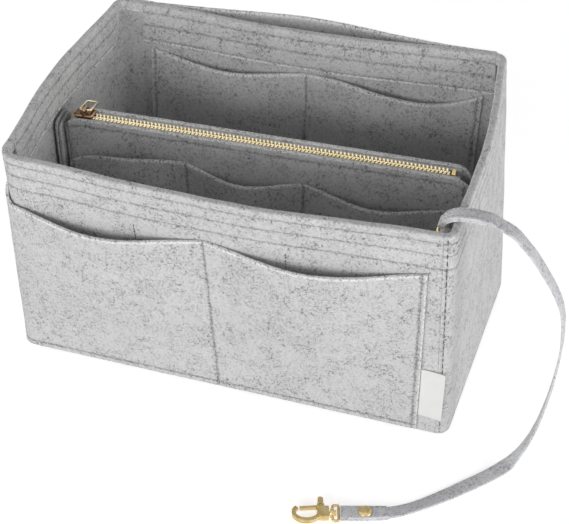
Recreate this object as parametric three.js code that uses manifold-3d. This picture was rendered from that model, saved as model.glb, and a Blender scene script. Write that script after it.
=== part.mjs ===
// Felt purse organizer insert: an open box of sewn felt walls with pockets inside and out, a lift-out
// zip pouch across its middle, and a felt key strap with a swivel clasp.
// Millimetres, +Z up. The origin is on the floor under the middle of the box, +X to the right of
// someone facing the front pockets, +Y to the back.

import * as THREE from 'three';
import { mergeVertices } from 'three/addons/utils/BufferGeometryUtils.js';
import Module from 'manifold-3d';

const wasm = await Module();
wasm.setup();

// Felt and the gaps between sewn layers
const felt = 2.4;
const layer_gap = 0.3;

// The box: soft walls that lean a little, so the foot and the rim differ in size
const box_height = 180;
const foot_length = 298;
const foot_depth = 162;
const rim_length = 278;
const rim_depth = 186;
const corner_radius = 8;
const foot_radius = 4;
const foot_lean = 9;
const rim_lean = -5;
const foot_shift = 2.5;
const front_belly = 6.5;
const right_belly = 5;
const back_belly = -7;
const left_belly = 6.5;
const belly_power = 1.5;

// How far the rim stands out past its plain outline: forward at the two front corners, backward at
// the two back ones, and to the left at the front and at the back. The front left corner is a wider bend.
const front_left_swell = 8.5;
const front_right_swell = 5;
const back_left_swell = 2.5;
const back_right_swell = 9.5;
const left_front_swell = 3.4;
const left_back_swell = -1.5;
const left_swell_power = 3;
const corner_bend_tuck = 7;
const corner_bend_share = 0.15;
const corner_bend_power = 4;

// Rim hem: the top of each wall is folded in and sewn down in three rows
const hem_depth = 28;
const hem_end_depth = 6;
const hem_slit_top = 3.2;
const left_seam_inset = 6;
const back_seam_inset = 15;

// Front outer pockets: one strip of felt, sewn down at a divider
const front_pocket_left_inset = 3;
const front_pocket_bend_inset = 15;
const front_pocket_right_inset = 12.5;
const front_pocket_end_share = -1.02;
const front_pocket_divider = -8.5;
const front_pocket_foot = 5;
const front_pocket_left_fall = 31;
const front_pocket_divider_fall = 34.5;
const front_pocket_right_fall = 30.5;
const front_pocket_left_dip = 12.5;
const front_pocket_right_dip = 8;
const front_pocket_skew_shares = [0.72, 1];
const front_pocket_belly = 8;

// Front inner pockets: three, hidden behind the front wall
const front_inner_inset = 10;
const front_inner_left_divider = -57;
const front_inner_right_divider = 39;
const front_inner_foot = 12;
const front_inner_fall = 44;
const front_inner_dip = 9;
const front_inner_skew_shares = [1, 1, 1];
const front_inner_belly = 7;

// Back inner pockets: two
const back_inner_left_inset = 25;
const back_inner_right_inset = 15.5;
const back_inner_divider = 2;
const back_inner_foot = 8;
const back_inner_left_fall = 33;
const back_inner_divider_fall = 31.5;
const back_inner_right_fall = 30.5;
const back_inner_left_dip = 4.4;
const back_inner_right_dip = 8.2;
const back_inner_skew_shares = [0.85, 2.2];
const back_inner_belly = 7.5;

// Rear slip pocket: a second back wall outside the first, open along the rim
const slip_foot = 5;
const slip_sewn_margin = 14;
const slip_belly = 15.5;
const slip_drop = 1;

// White side label, left blank
const label_width = 15.5;
const label_foot = 18.5;
const label_top = 63;
const label_thickness = 0.6;

// Zip pouch across the middle
const pouch_x = -1.8;
const pouch_y = -2;
const pouch_turn = 2.2;
const pouch_end_gap = 5.21;
const pouch_foot = 8;
const pouch_fall = 29;
const pouch_half_width = 8;
const pouch_corner = 12;
const pouch_end_close = 5;
const pouch_foot_close = 34;

// Pouch front pockets: three
const pouch_pocket_left_inset = 3;
const pouch_pocket_right_inset = 10.2;
const pouch_pocket_left_divider = -49.8;
const pouch_pocket_right_divider = 29.2;
const pouch_pocket_foot = 16;
const pouch_pocket_left_fall = 34;
const pouch_pocket_left_divider_fall = 20;
const pouch_pocket_right_divider_fall = 22;
const pouch_pocket_right_fall = 24;
const pouch_pocket_left_crown = 8;
const pouch_pocket_dip = 5.5;
const pouch_pocket_skew_shares = [0.75, 0.8, 1];
const pouch_pocket_belly = 7;

// Hook and loop tabs that hold the pouch ends to the side walls
const tab_width = 20;
const tab_foot_fall = 53;
const pouch_tab_fall = 5;
const left_wall_tab_fall = 3;
const right_wall_tab_rise = 6;
const wall_tab_thickness = 1.8;
const tab_corner = 5;

// Zip
const tooth_pitch = 2.54;
const tooth_share = 0.5;
const tooth_height = 2.4;
const chain_half_width = 2.9;
const chain_slot = 1.8;
const chain_cord = 0.9;
const chain_fall = 1.8;
const chain_left_inset = 6.2;
const chain_right_inset = 13.2;
const tape_thickness = 0.8;
const tape_fall = 11;
const tape_left_inset = 5.2;
const tape_right_inset = 7.2;
const stop_length = 2.6;
const top_stop_length = 1.4;

// Zip slider, resting at the left end
const slider_length = 13;
const slider_width = 9.6;
const slider_foot_width = 8.2;
const slider_corner = 2;
const slider_plate = 1.3;
const slider_clearance = 0.4;
const slider_web = 1;
const slider_web_length = 4;
const slider_rest_gap = 1;
const slider_flange = 0.9;
const crown_length = 2.4;
const crown_span = 7;
const crown_height = 4;
const crown_corner = 1.2;
const crown_eye_radius = 1.35;
const pull_wire = 1.5;
const pull_width = 9;
const pull_length = 15;
const pull_corner = 2;
const pull_rest_angle = 9;

// Key strap: a flat band of felt, doubled at both ends
const strap_width = 9.6;
const strap_felt = 1.5;
const strap_edge_round = 0.5;
const strap_ring_fold = 34;
const strap_clasp_fold = 30;
const strap_steps = 60;

// The band's centreline as it lies, how far its width is turned away from +Y, and how far it is rolled so
// that its near edge stands up, in degrees
const strap_route = [
  [128.6, -78.5, 174.3], [131.5, -78.7, 179], [136.2, -79, 182.4], [142.4, -79.4, 184], [149, -80, 184.9],
  [156.2, -80.5, 184.8], [163.6, -81.5, 183.1], [171.1, -82.5, 180], [177.3, -84, 175.2], [184.4, -85.5, 168.2],
  [191.6, -87, 159.2], [198.4, -88.2, 149.2], [203.8, -89.2, 138], [206.6, -90, 124], [207.7, -90, 107],
  [207.4, -90, 90], [205.8, -90, 68], [202.6, -90, 44], [198.6, -90.4, 26], [194.6, -90.8, 13.6],
  [190.6, -92.2, 5], [185.2, -97.6, 1.6], [177, -107, 1.15], [165, -119.8, 1.5], [152.3, -132.8, 2],
  [139.6, -144.2, 2.4], [126.4, -153.2, 3], [111.5, -158.9, 3.6], [97.2, -163.2, 3.6],
];
const strap_turns = [
  0, 0, 0, 0, 0, 0, 0, 0, 0, 0, 0, 0, 0, 0, 0, 0, 0, 1, 3, 8, 20, 35, 43, 45, 44, 39, 28, 18, 16.5,
];
const strap_rolls = [
  0, 0, 0, 0, 0, 0, 0, 0, 0, 0, 0, 0, 0, 0, 0, 0, 0, 0, 0, 0, 0, 0, -2, -6, -12, -15, -10, 0, 0,
];

// Ring that carries the strap, in a felt loop sewn inside the right wall
const ring_width = 16;
const ring_height = 12;
const ring_wire = 2;
const ring_corner = 2.5;
const ring_inset = 13.2;
const ring_fall = 16.6;
const ring_tilt = 18;
const loop_width = 11;
const loop_bore = 1.8;
const loop_foot_fall = 28;
const loop_top_fall = 8;
const loop_reach = 4.9;
const loop_clearance = 0.5;

// Rivet through the strap's doubled end
const rivet_x = 111.5;
const rivet_y = -158.9;
const rivet_cap_radius = 4.3;
const rivet_foot_radius = 3.2;
const rivet_post_radius = 1.3;
const rivet_cap = 1.1;
const rivet_foot = 0.7;
const rivet_drill = 12;
const rivet_dome_share = 0.75;

// Swivel clasp at the end of the strap
const clasp_x = 97.2;
const clasp_y = -163.2;
const clasp_turn = 196.5;
const clasp_axis_height = 3.6;
const eye_width = 13.4;
const eye_length = 5.4;
const eye_wire = 1.7;
const eye_gap = 0.3;
const stem_radius = 1.2;
const stem_bore = 1.6;
const stem_head_radius = 2.1;
const stem_head = 1.1;
const collar_radius = 2.9;
const collar_length = 2.4;
const body_start = 7;
const body_length = 6.6;
const body_width = 8;
const body_thickness = 4.6;
const body_corner = 1.2;
const claw_long_radius = 9.2;
const claw_short_radius = 6.9;
const claw_band = 2.5;
const claw_thickness = 3;
const claw_centre = 20.8;
const claw_root_angle = 150;
const claw_tip_angle = 42;
const gate_side = -1;
const gate_thickness = 2.2;
const gate_clearance = 0.35;
const gate_pivot_along = 12.2;
const gate_pivot_across = 4.6;
const gate_pin_radius = 0.8;
const gate_pin_bore = 1.15;
const gate_boss_radius = 2.1;
const cheek_radius = 2.4;
const gate_slot_depth = 2.75;
const gate_arm_width = 1.9;
const gate_arm_length = 13;
const gate_arm_drop = 1.1;
const thumb_reach = 7.6;
const thumb_width = 3.6;
const knob_round_share = 0.95;

// Fineness of the faceted shapes
const merge_distance = 1e-4;
const round_sides = 20;
const arc_steps = 4;
const cut_overrun = 1;

const felt_light = new THREE.Color(0.72, 0.72, 0.72);
const gold_tone = new THREE.Color(0.83, 0.66, 0.36);
const white_tone = new THREE.Color(0.93, 0.93, 0.92);
const tape_tone = new THREE.Color(0.6, 0.6, 0.61);

const group = new THREE.Group();

function finish(color, roughness, metalness) {
  return new THREE.MeshStandardMaterial({ color, roughness, metalness });
}

function add(name, geometry, material, parent = group) {
  const mesh = new THREE.Mesh(geometry, material);
  mesh.name = name;
  parent.add(mesh);
  return mesh;
}

function mix(a, b, share) {
  return a + (b - a) * share;
}

function clamp01(value) {
  return Math.min(1, Math.max(0, value));
}

// Points and triangles as one closed mesh whose faces point out
function closedMesh(points, triangles) {
  let volume = 0;
  for (const [a, b, c] of triangles) {
    volume += points[a].dot(points[b].clone().cross(points[c]));
  }
  const turned = volume < 0 ? triangles.map(([a, b, c]) => [a, c, b]) : triangles;
  const geometry = new THREE.BufferGeometry();
  geometry.setAttribute('position', new THREE.Float32BufferAttribute(points.flatMap((p) => p.toArray()), 3));
  geometry.setIndex(turned.flat());
  return geometry;
}

// A sheet of felt with two skins: place(u, v, w) gives the point at shares u along, v up and w through it
function sheet(along, up, place) {
  const points = [];
  const index = (i, j, w) => (w * along.length + i) * up.length + j;
  for (const w of [0, 1]) {
    for (const u of along) {
      for (const v of up) {
        points.push(place(u, v, w));
      }
    }
  }
  const triangles = [];
  const quad = (a, b, c, d) => triangles.push([a, b, c], [a, c, d]);
  const last_i = along.length - 1;
  const last_j = up.length - 1;
  for (let i = 0; i < last_i; i += 1) {
    for (let j = 0; j < last_j; j += 1) {
      quad(index(i, j, 1), index(i + 1, j, 1), index(i + 1, j + 1, 1), index(i, j + 1, 1));
      quad(index(i, j, 0), index(i, j + 1, 0), index(i + 1, j + 1, 0), index(i + 1, j, 0));
    }
    quad(index(i, 0, 0), index(i + 1, 0, 0), index(i + 1, 0, 1), index(i, 0, 1));
    quad(index(i, last_j, 1), index(i + 1, last_j, 1), index(i + 1, last_j, 0), index(i, last_j, 0));
  }
  for (let j = 0; j < last_j; j += 1) {
    quad(index(0, j, 0), index(0, j, 1), index(0, j + 1, 1), index(0, j + 1, 0));
    quad(index(last_i, j, 1), index(last_i, j, 0), index(last_i, j + 1, 0), index(last_i, j + 1, 1));
  }
  return closedMesh(points, triangles);
}

// A closed section carried along stations: each ring holds the placed points of the flat section
function sweep(rings, flat_section) {
  const outline = flat_section.map(([x, y]) => new THREE.Vector2(x, y));
  const reversed = THREE.ShapeUtils.area(outline) < 0;
  const contour = reversed ? outline.slice().reverse() : outline;
  const points = rings.flatMap((ring) => (reversed ? ring.slice().reverse() : ring));
  const count = contour.length;
  const triangles = [];
  for (let k = 0; k + 1 < rings.length; k += 1) {
    for (let i = 0; i < count; i += 1) {
      const j = (i + 1) % count;
      const a = k * count;
      const b = a + count;
      triangles.push([a + i, a + j, b + j], [a + i, b + j, b + i]);
    }
  }
  const end = (rings.length - 1) * count;
  for (const [a, b, c] of THREE.ShapeUtils.triangulateShape(contour, [])) {
    triangles.push([a, c, b], [end + a, end + b, end + c]);
  }
  return closedMesh(points, triangles);
}

function toSolid(geometry) {
  const bare = geometry.clone();
  bare.deleteAttribute('normal');
  bare.deleteAttribute('uv');
  const merged = mergeVertices(bare, merge_distance);
  const vertProperties = new Float32Array(merged.attributes.position.array);
  const triVerts = new Uint32Array(merged.index.array);
  return new wasm.Manifold(new wasm.Mesh({ numProp: 3, vertProperties, triVerts }));
}

function fromSolid(solid) {
  const mesh = solid.getMesh();
  const geometry = new THREE.BufferGeometry();
  geometry.setAttribute('position', new THREE.Float32BufferAttribute(mesh.vertProperties, 3));
  geometry.setIndex(Array.from(mesh.triVerts));
  return geometry;
}

// A box between two corners
function block(low, high) {
  const size = high.map((value, axis) => value - low[axis]);
  const geometry = new THREE.BoxGeometry(...size);
  geometry.translate(...low.map((value, axis) => value + size[axis] / 2));
  return geometry;
}

// A round bar from one point along an axis
function rod(radius, length, axis, centre, sides = round_sides) {
  const geometry = new THREE.CylinderGeometry(radius, radius, length, sides);
  if (axis === 'x') geometry.rotateZ(Math.PI / 2);
  if (axis === 'z') geometry.rotateX(Math.PI / 2);
  geometry.translate(...centre);
  return geometry;
}

function extruded(shape, depth, middle) {
  const geometry = new THREE.ExtrudeGeometry(shape, { depth, bevelEnabled: false, curveSegments: arc_steps });
  geometry.translate(0, 0, middle - depth / 2);
  return geometry;
}

function roundedRectangle(low_x, low_y, high_x, high_y, radius, path = new THREE.Shape()) {
  path.moveTo(low_x + radius, low_y);
  path.lineTo(high_x - radius, low_y);
  path.absarc(high_x - radius, low_y + radius, radius, -Math.PI / 2, 0, false);
  path.lineTo(high_x, high_y - radius);
  path.absarc(high_x - radius, high_y - radius, radius, 0, Math.PI / 2, false);
  path.lineTo(low_x + radius, high_y);
  path.absarc(low_x + radius, high_y - radius, radius, Math.PI / 2, Math.PI, false);
  path.lineTo(low_x, low_y + radius);
  path.absarc(low_x + radius, low_y + radius, radius, Math.PI, Math.PI * 1.5, false);
  return path;
}

// The box's outline: legs 0, 2, 4 and 6 are the front, right, back and left walls, walked
// anticlockwise from the front left, and the odd legs are the corner arcs after them

function halfLength(z) {
  return mix(foot_length, rim_length, z / box_height) / 2;
}

function halfDepth(z) {
  return mix(foot_depth, rim_depth, z / box_height) / 2;
}

function lean(z) {
  return mix(foot_lean, rim_lean, z / box_height);
}

function footShift(z) {
  return foot_shift * (1 - z / box_height);
}

function footInset(z) {
  const rise = Math.min(z, foot_radius);
  return foot_radius - Math.sqrt(foot_radius ** 2 - (foot_radius - rise) ** 2);
}

function belly(depth, along, z) {
  return depth * (1 - along ** 2) ** 2 * clamp01(z / box_height) ** belly_power;
}

function wallPoint(leg_share, z, out) {
  const leg = ((Math.floor(leg_share) % 8) + 8) % 8;
  const share = leg_share - Math.floor(leg_share);
  const along = 2 * share - 1;
  const run_x = halfLength(z) - corner_radius;
  const run_y = halfDepth(z) - corner_radius;
  const radius = corner_radius + out - footInset(z);
  const turn = share * Math.PI / 2;
  const spot = new THREE.Vector3(0, 0, z);
  if (leg === 0) spot.set(along * run_x, -run_y - radius - belly(front_belly, along, z), z);
  if (leg === 1) spot.set(run_x + radius * Math.sin(turn), -run_y - radius * Math.cos(turn), z);
  if (leg === 2) spot.set(run_x + radius + belly(right_belly, along, z), along * run_y, z);
  if (leg === 3) spot.set(run_x + radius * Math.cos(turn), run_y + radius * Math.sin(turn), z);
  if (leg === 4) spot.set(-along * run_x, run_y + radius + belly(back_belly, along, z), z);
  if (leg === 5) spot.set(-run_x - radius * Math.sin(turn), run_y + radius * Math.cos(turn), z);
  if (leg === 6) spot.set(-run_x - radius - belly(left_belly, along, z), -along * run_y, z);
  if (leg === 7) spot.set(-run_x - radius * Math.cos(turn), -run_y - radius * Math.sin(turn), z);
  spot.x += lean(z) * spot.y / (2 * halfDepth(z));
  const rise = clamp01(z / box_height) ** belly_power;
  const forward = clamp01(-spot.y / halfDepth(z));
  const back = clamp01(spot.y / halfDepth(z));
  const backward = clamp01(0.5 + spot.y / (2 * halfDepth(z)));
  const leftward = clamp01(-spot.x / halfLength(z));
  const rightward = clamp01(0.5 + spot.x / (2 * halfLength(z)));
  const bend = clamp01((leftward - 1 + corner_bend_share) / corner_bend_share) ** 2;
  spot.y -= rise * forward * mix(front_left_swell, front_right_swell, rightward);
  spot.y += rise * forward ** corner_bend_power * corner_bend_tuck * bend;
  spot.y += rise * back * mix(back_left_swell, back_right_swell, rightward);
  spot.x -= rise * leftward ** left_swell_power * mix(left_front_swell, left_back_swell, backward);
  spot.x += footShift(z);
  return spot;
}

// The leg share of a place on the front wall
function frontShare(x, z) {
  const run = halfLength(z) - corner_radius;
  return (x - footShift(z) + lean(z) / 2 + run) / (2 * run);
}

// The leg share of a place on the back wall
function backShare(x, z) {
  const run = halfLength(z) - corner_radius;
  return 4 + (run - (x - footShift(z) - lean(z) / 2)) / (2 * run);
}

const corner_length = corner_radius * Math.PI / 2;
const seam_share = layer_gap / 2 / foot_length;
const corner_seam_share = layer_gap / 2 / corner_length;
const back_seam_share = back_seam_inset / foot_length;

// The section of a wall whose top is folded in: up the outside, over the rim, down the hem and back
function hemmedSection(hem) {
  const fold_radius = felt + layer_gap / 2;
  const levels_share = [0.3, 0.55, 0.78];
  const foot_levels_share = [0.08, 0.35, 1];
  const low = [0, ...foot_levels_share.map((share) => share * foot_radius)];
  const levels = [...low, ...levels_share.map((share) => share * box_height), box_height - fold_radius];
  const section = levels.map((z) => [0, z]);
  for (let k = 1; k < arc_steps; k += 1) {
    const turn = k / arc_steps * Math.PI;
    const out = -fold_radius + fold_radius * Math.cos(turn);
    section.push([out, box_height - fold_radius + fold_radius * Math.sin(turn)]);
  }
  section.push([-2 * fold_radius, box_height - fold_radius]);
  section.push([-2 * fold_radius, box_height - hem]);
  section.push([-felt - layer_gap, box_height - hem]);
  section.push([-felt - layer_gap, box_height - hem_slit_top]);
  section.push([-felt, box_height - hem_slit_top]);
  for (const z of levels.slice(0, -1).reverse()) {
    section.push([-felt, z]);
  }
  return section;
}

// hem_shares gives the fold's depth between the hem's end and its full depth at each station
function hemmedWall(stations, hem_shares) {
  const rings = stations.map((share, k) => {
    const hem = mix(hem_end_depth, hem_depth, hem_shares[k]);
    return hemmedSection(hem).map(([out, z]) => wallPoint(share, z, out));
  });
  return sweep(rings, hemmedSection(hem_depth));
}

const felt_finish = finish(felt_light, 0.95, 0);
const gold_finish = finish(gold_tone, 0.28, 1);
const tape_finish = finish(tape_tone, 0.9, 0);
const label_finish = finish(white_tone, 0.8, 0);

const arc_shares = [0.25, 0.5, 0.75];
const wall_shares = [0.1, 0.18, 0.26, 0.34, 0.42, 0.5, 0.58, 0.66, 0.74, 0.82, 0.9];
const end_wall_shares = [0.12, 0.3, 0.5, 0.7, 0.88];
const hem_end_shares = [0.015, 0.03, 0.05];
const hem_rise_shares = [0, 0.7, 1];

// A wall's stations: the arc before it, the wall with its hem's rounded ends, and the arc after it
function wallStations(leg, arc_before, arc_after) {
  const stations = [];
  const hems = [];
  const push = (share, hem) => {
    stations.push(share);
    hems.push(hem);
  };
  arc_before.forEach((share) => push(leg - 1 + share, 0));
  hem_end_shares.forEach((share, k) => push(leg + share, hem_rise_shares[k]));
  end_wall_shares.forEach((share) => push(leg + share, 1));
  hem_end_shares.slice().reverse().forEach((share, k) => push(leg + 1 - share, hem_rise_shares[2 - k]));
  arc_after.forEach((share) => push(leg + 1 + share, 0));
  return { stations, hems };
}

// Front wall: it runs round the front left corner to a seam on the left side
{
  const setback_share = left_seam_inset / foot_depth;
  const stations = [7 - setback_share + corner_seam_share, 7, ...arc_shares.map((share) => 7 + share)];
  const hems = stations.map(() => 0);
  hem_end_shares.forEach((share, k) => {
    stations.push(8 + share);
    hems.push(hem_rise_shares[k]);
  });
  wall_shares.forEach((share) => {
    stations.push(8 + share);
    hems.push(1);
  });
  stations.push(9 - seam_share);
  hems.push(1);
  add('front_panel', hemmedWall(stations, hems), felt_finish);
}

// Back wall, between a seam at the right corner and one short of the left corner
{
  const end = 5 - back_seam_share - seam_share;
  const stations = [4 + seam_share, ...wall_shares.map((share) => 4 + share), end];
  add('back_panel', hemmedWall(stations, stations.map(() => 1)), felt_finish);
}

// End walls, which turn both corners on the right and only the back one on the left
{
  const before = [corner_seam_share, ...arc_shares, 1];
  const after = [0, ...arc_shares, 1 - corner_seam_share];
  const right = wallStations(2, before, after);
  add('right_side_panel', hemmedWall(right.stations, right.hems), felt_finish);
}
{
  const before = [seam_share - back_seam_share, 0, ...arc_shares, 1];
  const left = wallStations(6, before, []);
  const setback_share = left_seam_inset / foot_depth;
  const stations = left.stations.filter((share) => share < 7 - setback_share - hem_end_shares[2]);
  const hems = left.hems.slice(0, stations.length);
  hem_rise_shares.slice().reverse().forEach((hem, k) => {
    stations.push(7 - setback_share - corner_seam_share - hem_end_shares[2 - k] + hem_end_shares[0]);
    hems.push(hem);
  });
  add('left_side_panel', hemmedWall(stations, hems), felt_finish);
}

// Floor of the box, laid inside the foot of the walls
{
  const shape = new THREE.Shape();
  const floor_shares = [];
  for (let leg = 0; leg < 8; leg += 1) {
    const steps = leg % 2 === 0 ? 1 : arc_steps;
    for (let k = 0; k < steps; k += 1) {
      floor_shares.push(leg + k / steps);
    }
  }
  shape.setFromPoints(floor_shares.map((share) => {
    const spot = wallPoint(share, 0, -felt - layer_gap);
    return new THREE.Vector2(spot.x, spot.y);
  }));
  add('bottom_panel', extruded(shape, felt, felt / 2), felt_finish);
}

// A pocket's own coordinates: edges are its sewn lines from left to right
function pocketShare(edges, x) {
  for (let k = 0; k + 1 < edges.length; k += 1) {
    if (x <= edges[k + 1]) return { pocket: k, share: clamp01((x - edges[k]) / (edges[k + 1] - edges[k])) };
  }
  return { pocket: edges.length - 2, share: 1 };
}

const pocket_steps = 6;
const pocket_rows_share = [0, 0.12, 0.35, 0.6, 0.82, 1];

function pocketStations(edges) {
  const xs = [];
  for (let k = 0; k + 1 < edges.length; k += 1) {
    for (let step = 0; step < pocket_steps; step += 1) {
      xs.push(mix(edges[k], edges[k + 1], step / pocket_steps));
    }
  }
  xs.push(edges[edges.length - 1]);
  return xs;
}

// How far a pocket stands off what it is sewn to, and the height of its scooped top edge
function pocketStand(edges, x, v, depth) {
  const { share } = pocketShare(edges, x);
  return depth * Math.sin(Math.PI * share) ** 2 * Math.sin(v * Math.PI / 2) ** 2;
}

function pocketTop(edges, tops, dips, skew_shares, x) {
  const { pocket, share } = pocketShare(edges, x);
  const dip = dips[pocket] * Math.sin(Math.PI * share ** skew_shares[pocket]);
  return mix(tops[pocket], tops[pocket + 1], share) - dip;
}

// Front outer pockets
{
  const front_pocket_left = front_pocket_left_inset - foot_length / 2;
  const front_pocket_bend = front_pocket_bend_inset - rim_length / 2;
  const edges = [front_pocket_left, front_pocket_divider, rim_length / 2 - front_pocket_right_inset];
  const falls = [front_pocket_left_fall, front_pocket_divider_fall, front_pocket_right_fall];
  const tops = falls.map((fall) => box_height - fall);
  const dips = [front_pocket_left_dip, front_pocket_right_dip];
  const bent = (x) => clamp01((front_pocket_bend - x) / (front_pocket_bend - front_pocket_left));
  const place = (x, v, w) => {
    const z = mix(front_pocket_foot, pocketTop(edges, tops, dips, front_pocket_skew_shares, x), v);
    const stand = layer_gap + felt * w + pocketStand(edges, x, v, front_pocket_belly);
    const share = mix(frontShare(Math.max(x, front_pocket_bend), z), front_pocket_end_share, bent(x));
    return wallPoint(share, z, stand);
  };
  const bend_shares = [0, 0.16, 0.32, 0.46, 0.58, 0.7, 0.82, 0.92];
  const bend = bend_shares.map((share) => mix(front_pocket_left, front_pocket_bend, share));
  const stations = [...bend, ...pocketStations(edges).filter((x) => x > front_pocket_bend)];
  add('front_outer_pocket', sheet(stations, pocket_rows_share, place), felt_finish);
}

// Front inner pockets
{
  const reach = rim_length / 2 - front_inner_inset;
  const edges = [-reach, front_inner_left_divider, front_inner_right_divider, reach];
  const tops = edges.map(() => box_height - front_inner_fall);
  const dips = edges.map(() => front_inner_dip);
  const place = (x, v, w) => {
    const z = mix(front_inner_foot, pocketTop(edges, tops, dips, front_inner_skew_shares, x), v);
    const stand = felt + layer_gap + felt * w + pocketStand(edges, x, v, front_inner_belly);
    return wallPoint(frontShare(x, z), z, -stand);
  };
  add('front_inner_pocket', sheet(pocketStations(edges), pocket_rows_share, place), felt_finish);
}

// Back inner pockets
{
  const reach = rim_length / 2;
  const edges = [back_inner_left_inset - reach, back_inner_divider, reach - back_inner_right_inset];
  const falls = [back_inner_left_fall, back_inner_divider_fall, back_inner_right_fall];
  const tops = falls.map((fall) => box_height - fall);
  const dips = [back_inner_left_dip, back_inner_right_dip];
  const place = (x, v, w) => {
    const z = mix(back_inner_foot, pocketTop(edges, tops, dips, back_inner_skew_shares, x), v);
    const stand = felt + layer_gap + felt * w + pocketStand(edges, x, v, back_inner_belly);
    return wallPoint(backShare(x, z), z, -stand);
  };
  add('back_inner_pocket', sheet(pocketStations(edges), pocket_rows_share, place), felt_finish);
}

// Rear slip pocket
{
  const reach = foot_length / 2 - corner_radius;
  const along_shares = [-1, -0.94, -0.86, -0.74, -0.6, -0.4, -0.2, 0, 0.2, 0.4, 0.6, 0.74, 0.86, 0.94, 1];
  const open_half = reach - slip_sewn_margin;
  const rows_share = [0, 0.2, 0.4, 0.6, 0.8, 1];
  const place = (u, v, w) => {
    const z = mix(slip_foot, box_height - slip_drop, v);
    const opened = clamp01(1 - Math.abs(u * reach) / open_half);
    const stand = layer_gap + felt * w + slip_belly * Math.sin(opened * Math.PI / 2) ** 2 * v ** belly_power;
    return wallPoint(4.5 - u * (0.5 - seam_share), z, stand);
  };
  add('rear_slip_pocket', sheet(along_shares, rows_share, place), felt_finish);
}

// Blank label, sewn in beside the pocket's edge and standing flat from there
{
  const rows_share = [0, 0.5, 1];
  const place = (u, v, w) => {
    const z = mix(label_foot, label_top, v);
    const left = rim_length / 2 - front_pocket_right_inset + layer_gap;
    const spot = wallPoint(frontShare(left, z), z, layer_gap + label_thickness * w);
    spot.x += u * label_width;
    spot.y -= u * layer_gap;
    return spot;
  };
  add('side_label', sheet([0, 1], rows_share, place), label_finish);
}

// The lift-out pouch, in its own coordinates: X along it and Y through it
const pouch = new THREE.Group();
pouch.position.set(pouch_x, pouch_y, 0);
pouch.rotation.z = THREE.MathUtils.degToRad(pouch_turn);
group.add(pouch);

const pouch_top = box_height - pouch_fall;
const pouch_half_length = halfLength(pouch_top) - pouch_end_gap;
const chain_middle = pouch_top - chain_fall;
const chain_left = chain_left_inset - pouch_half_length;
const chain_right = pouch_half_length - chain_right_inset;
const slider_rest = chain_left + slider_length / 2 + slider_rest_gap;

// Half the pouch's outside width: it closes to a seam at both ends and along its foot
function pouchHalf(x, z) {
  const seam = felt + layer_gap / 2;
  const end = 1 - clamp01((pouch_half_length - Math.abs(x)) / pouch_end_close);
  const foot = 1 - clamp01((z - pouch_foot) / pouch_foot_close);
  return seam + (pouch_half_width - seam) * Math.sqrt(1 - end ** 2) * Math.sqrt(1 - foot ** 2);
}

function pouchTop(x) {
  const past = Math.max(0, Math.abs(x) - (pouch_half_length - pouch_corner));
  return pouch_top - pouch_corner + Math.sqrt(pouch_corner ** 2 - past ** 2);
}

const pouch_pocket_edges = [
  pouch_pocket_left_inset - pouch_half_length, pouch_pocket_left_divider,
  pouch_pocket_right_divider, pouch_half_length - pouch_pocket_right_inset,
];
const pouch_end_shares = [0, 0.035, 0.14, 0.34, 0.62, 1];

// Stations along the pouch, shared by its panels and its pockets so that their faces keep their gap
function pouchStations() {
  const ends = pouch_end_shares.map((share) => pouch_half_length - share * pouch_end_close);
  const corner = pouch_half_length - pouch_corner;
  const right = [...ends, mix(corner, pouch_half_length, 0.3), corner];
  const xs = [...right, ...right.map((x) => -x), ...pocketStations(pouch_pocket_edges)];
  xs.sort((p, q) => p - q);
  return xs.filter((x, k) => k === 0 || x - xs[k - 1] > merge_distance);
}

// Pouch panels: the front one stands at -Y and the rear one at +Y
{
  const rows_share = [0, 0.012, 0.045, 0.1, 0.17, 0.24, 0.6, 0.9, 1];
  const panel = (side) => (x, v, w) => {
    const z = mix(pouch_foot, pouchTop(x), v);
    return new THREE.Vector3(x, side * (pouchHalf(x, z) - felt * (1 - w)), z);
  };
  add('pouch_front_panel', sheet(pouchStations(), rows_share, panel(-1)), felt_finish, pouch);
  add('pouch_rear_panel', sheet(pouchStations(), rows_share, panel(1)), felt_finish, pouch);
}

// Pouch front pockets
{
  const rows_share = [0, 0.05, 0.12, 0.24, 0.45, 0.72, 1];
  const falls = [
    pouch_pocket_left_fall, pouch_pocket_left_divider_fall, pouch_pocket_right_divider_fall, pouch_pocket_right_fall,
  ];
  const tops = falls.map((fall) => pouch_top - fall);
  const dips = [-pouch_pocket_left_crown, pouch_pocket_dip, pouch_pocket_dip];
  const place = (x, v, w) => {
    const top = pocketTop(pouch_pocket_edges, tops, dips, pouch_pocket_skew_shares, x);
    const z = mix(pouch_pocket_foot, top, v);
    const stand = layer_gap + felt * w + pocketStand(pouch_pocket_edges, x, v, pouch_pocket_belly);
    return new THREE.Vector3(x, -pouchHalf(x, z) - stand, z);
  };
  const stations = pouchStations().filter((x) => x >= pouch_pocket_edges[0] && x <= pouch_pocket_edges[3]);
  add('pouch_front_pocket', sheet(stations, rows_share, place), felt_finish, pouch);
}

// Hook and loop tabs: one on each end of the pouch, facing one on each side wall
function standing(geometry) {
  return geometry.applyMatrix4(new THREE.Matrix4().set(0, 0, 1, 0, 1, 0, 0, 0, 0, 1, 0, 0, 0, 0, 0, 1));
}

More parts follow.
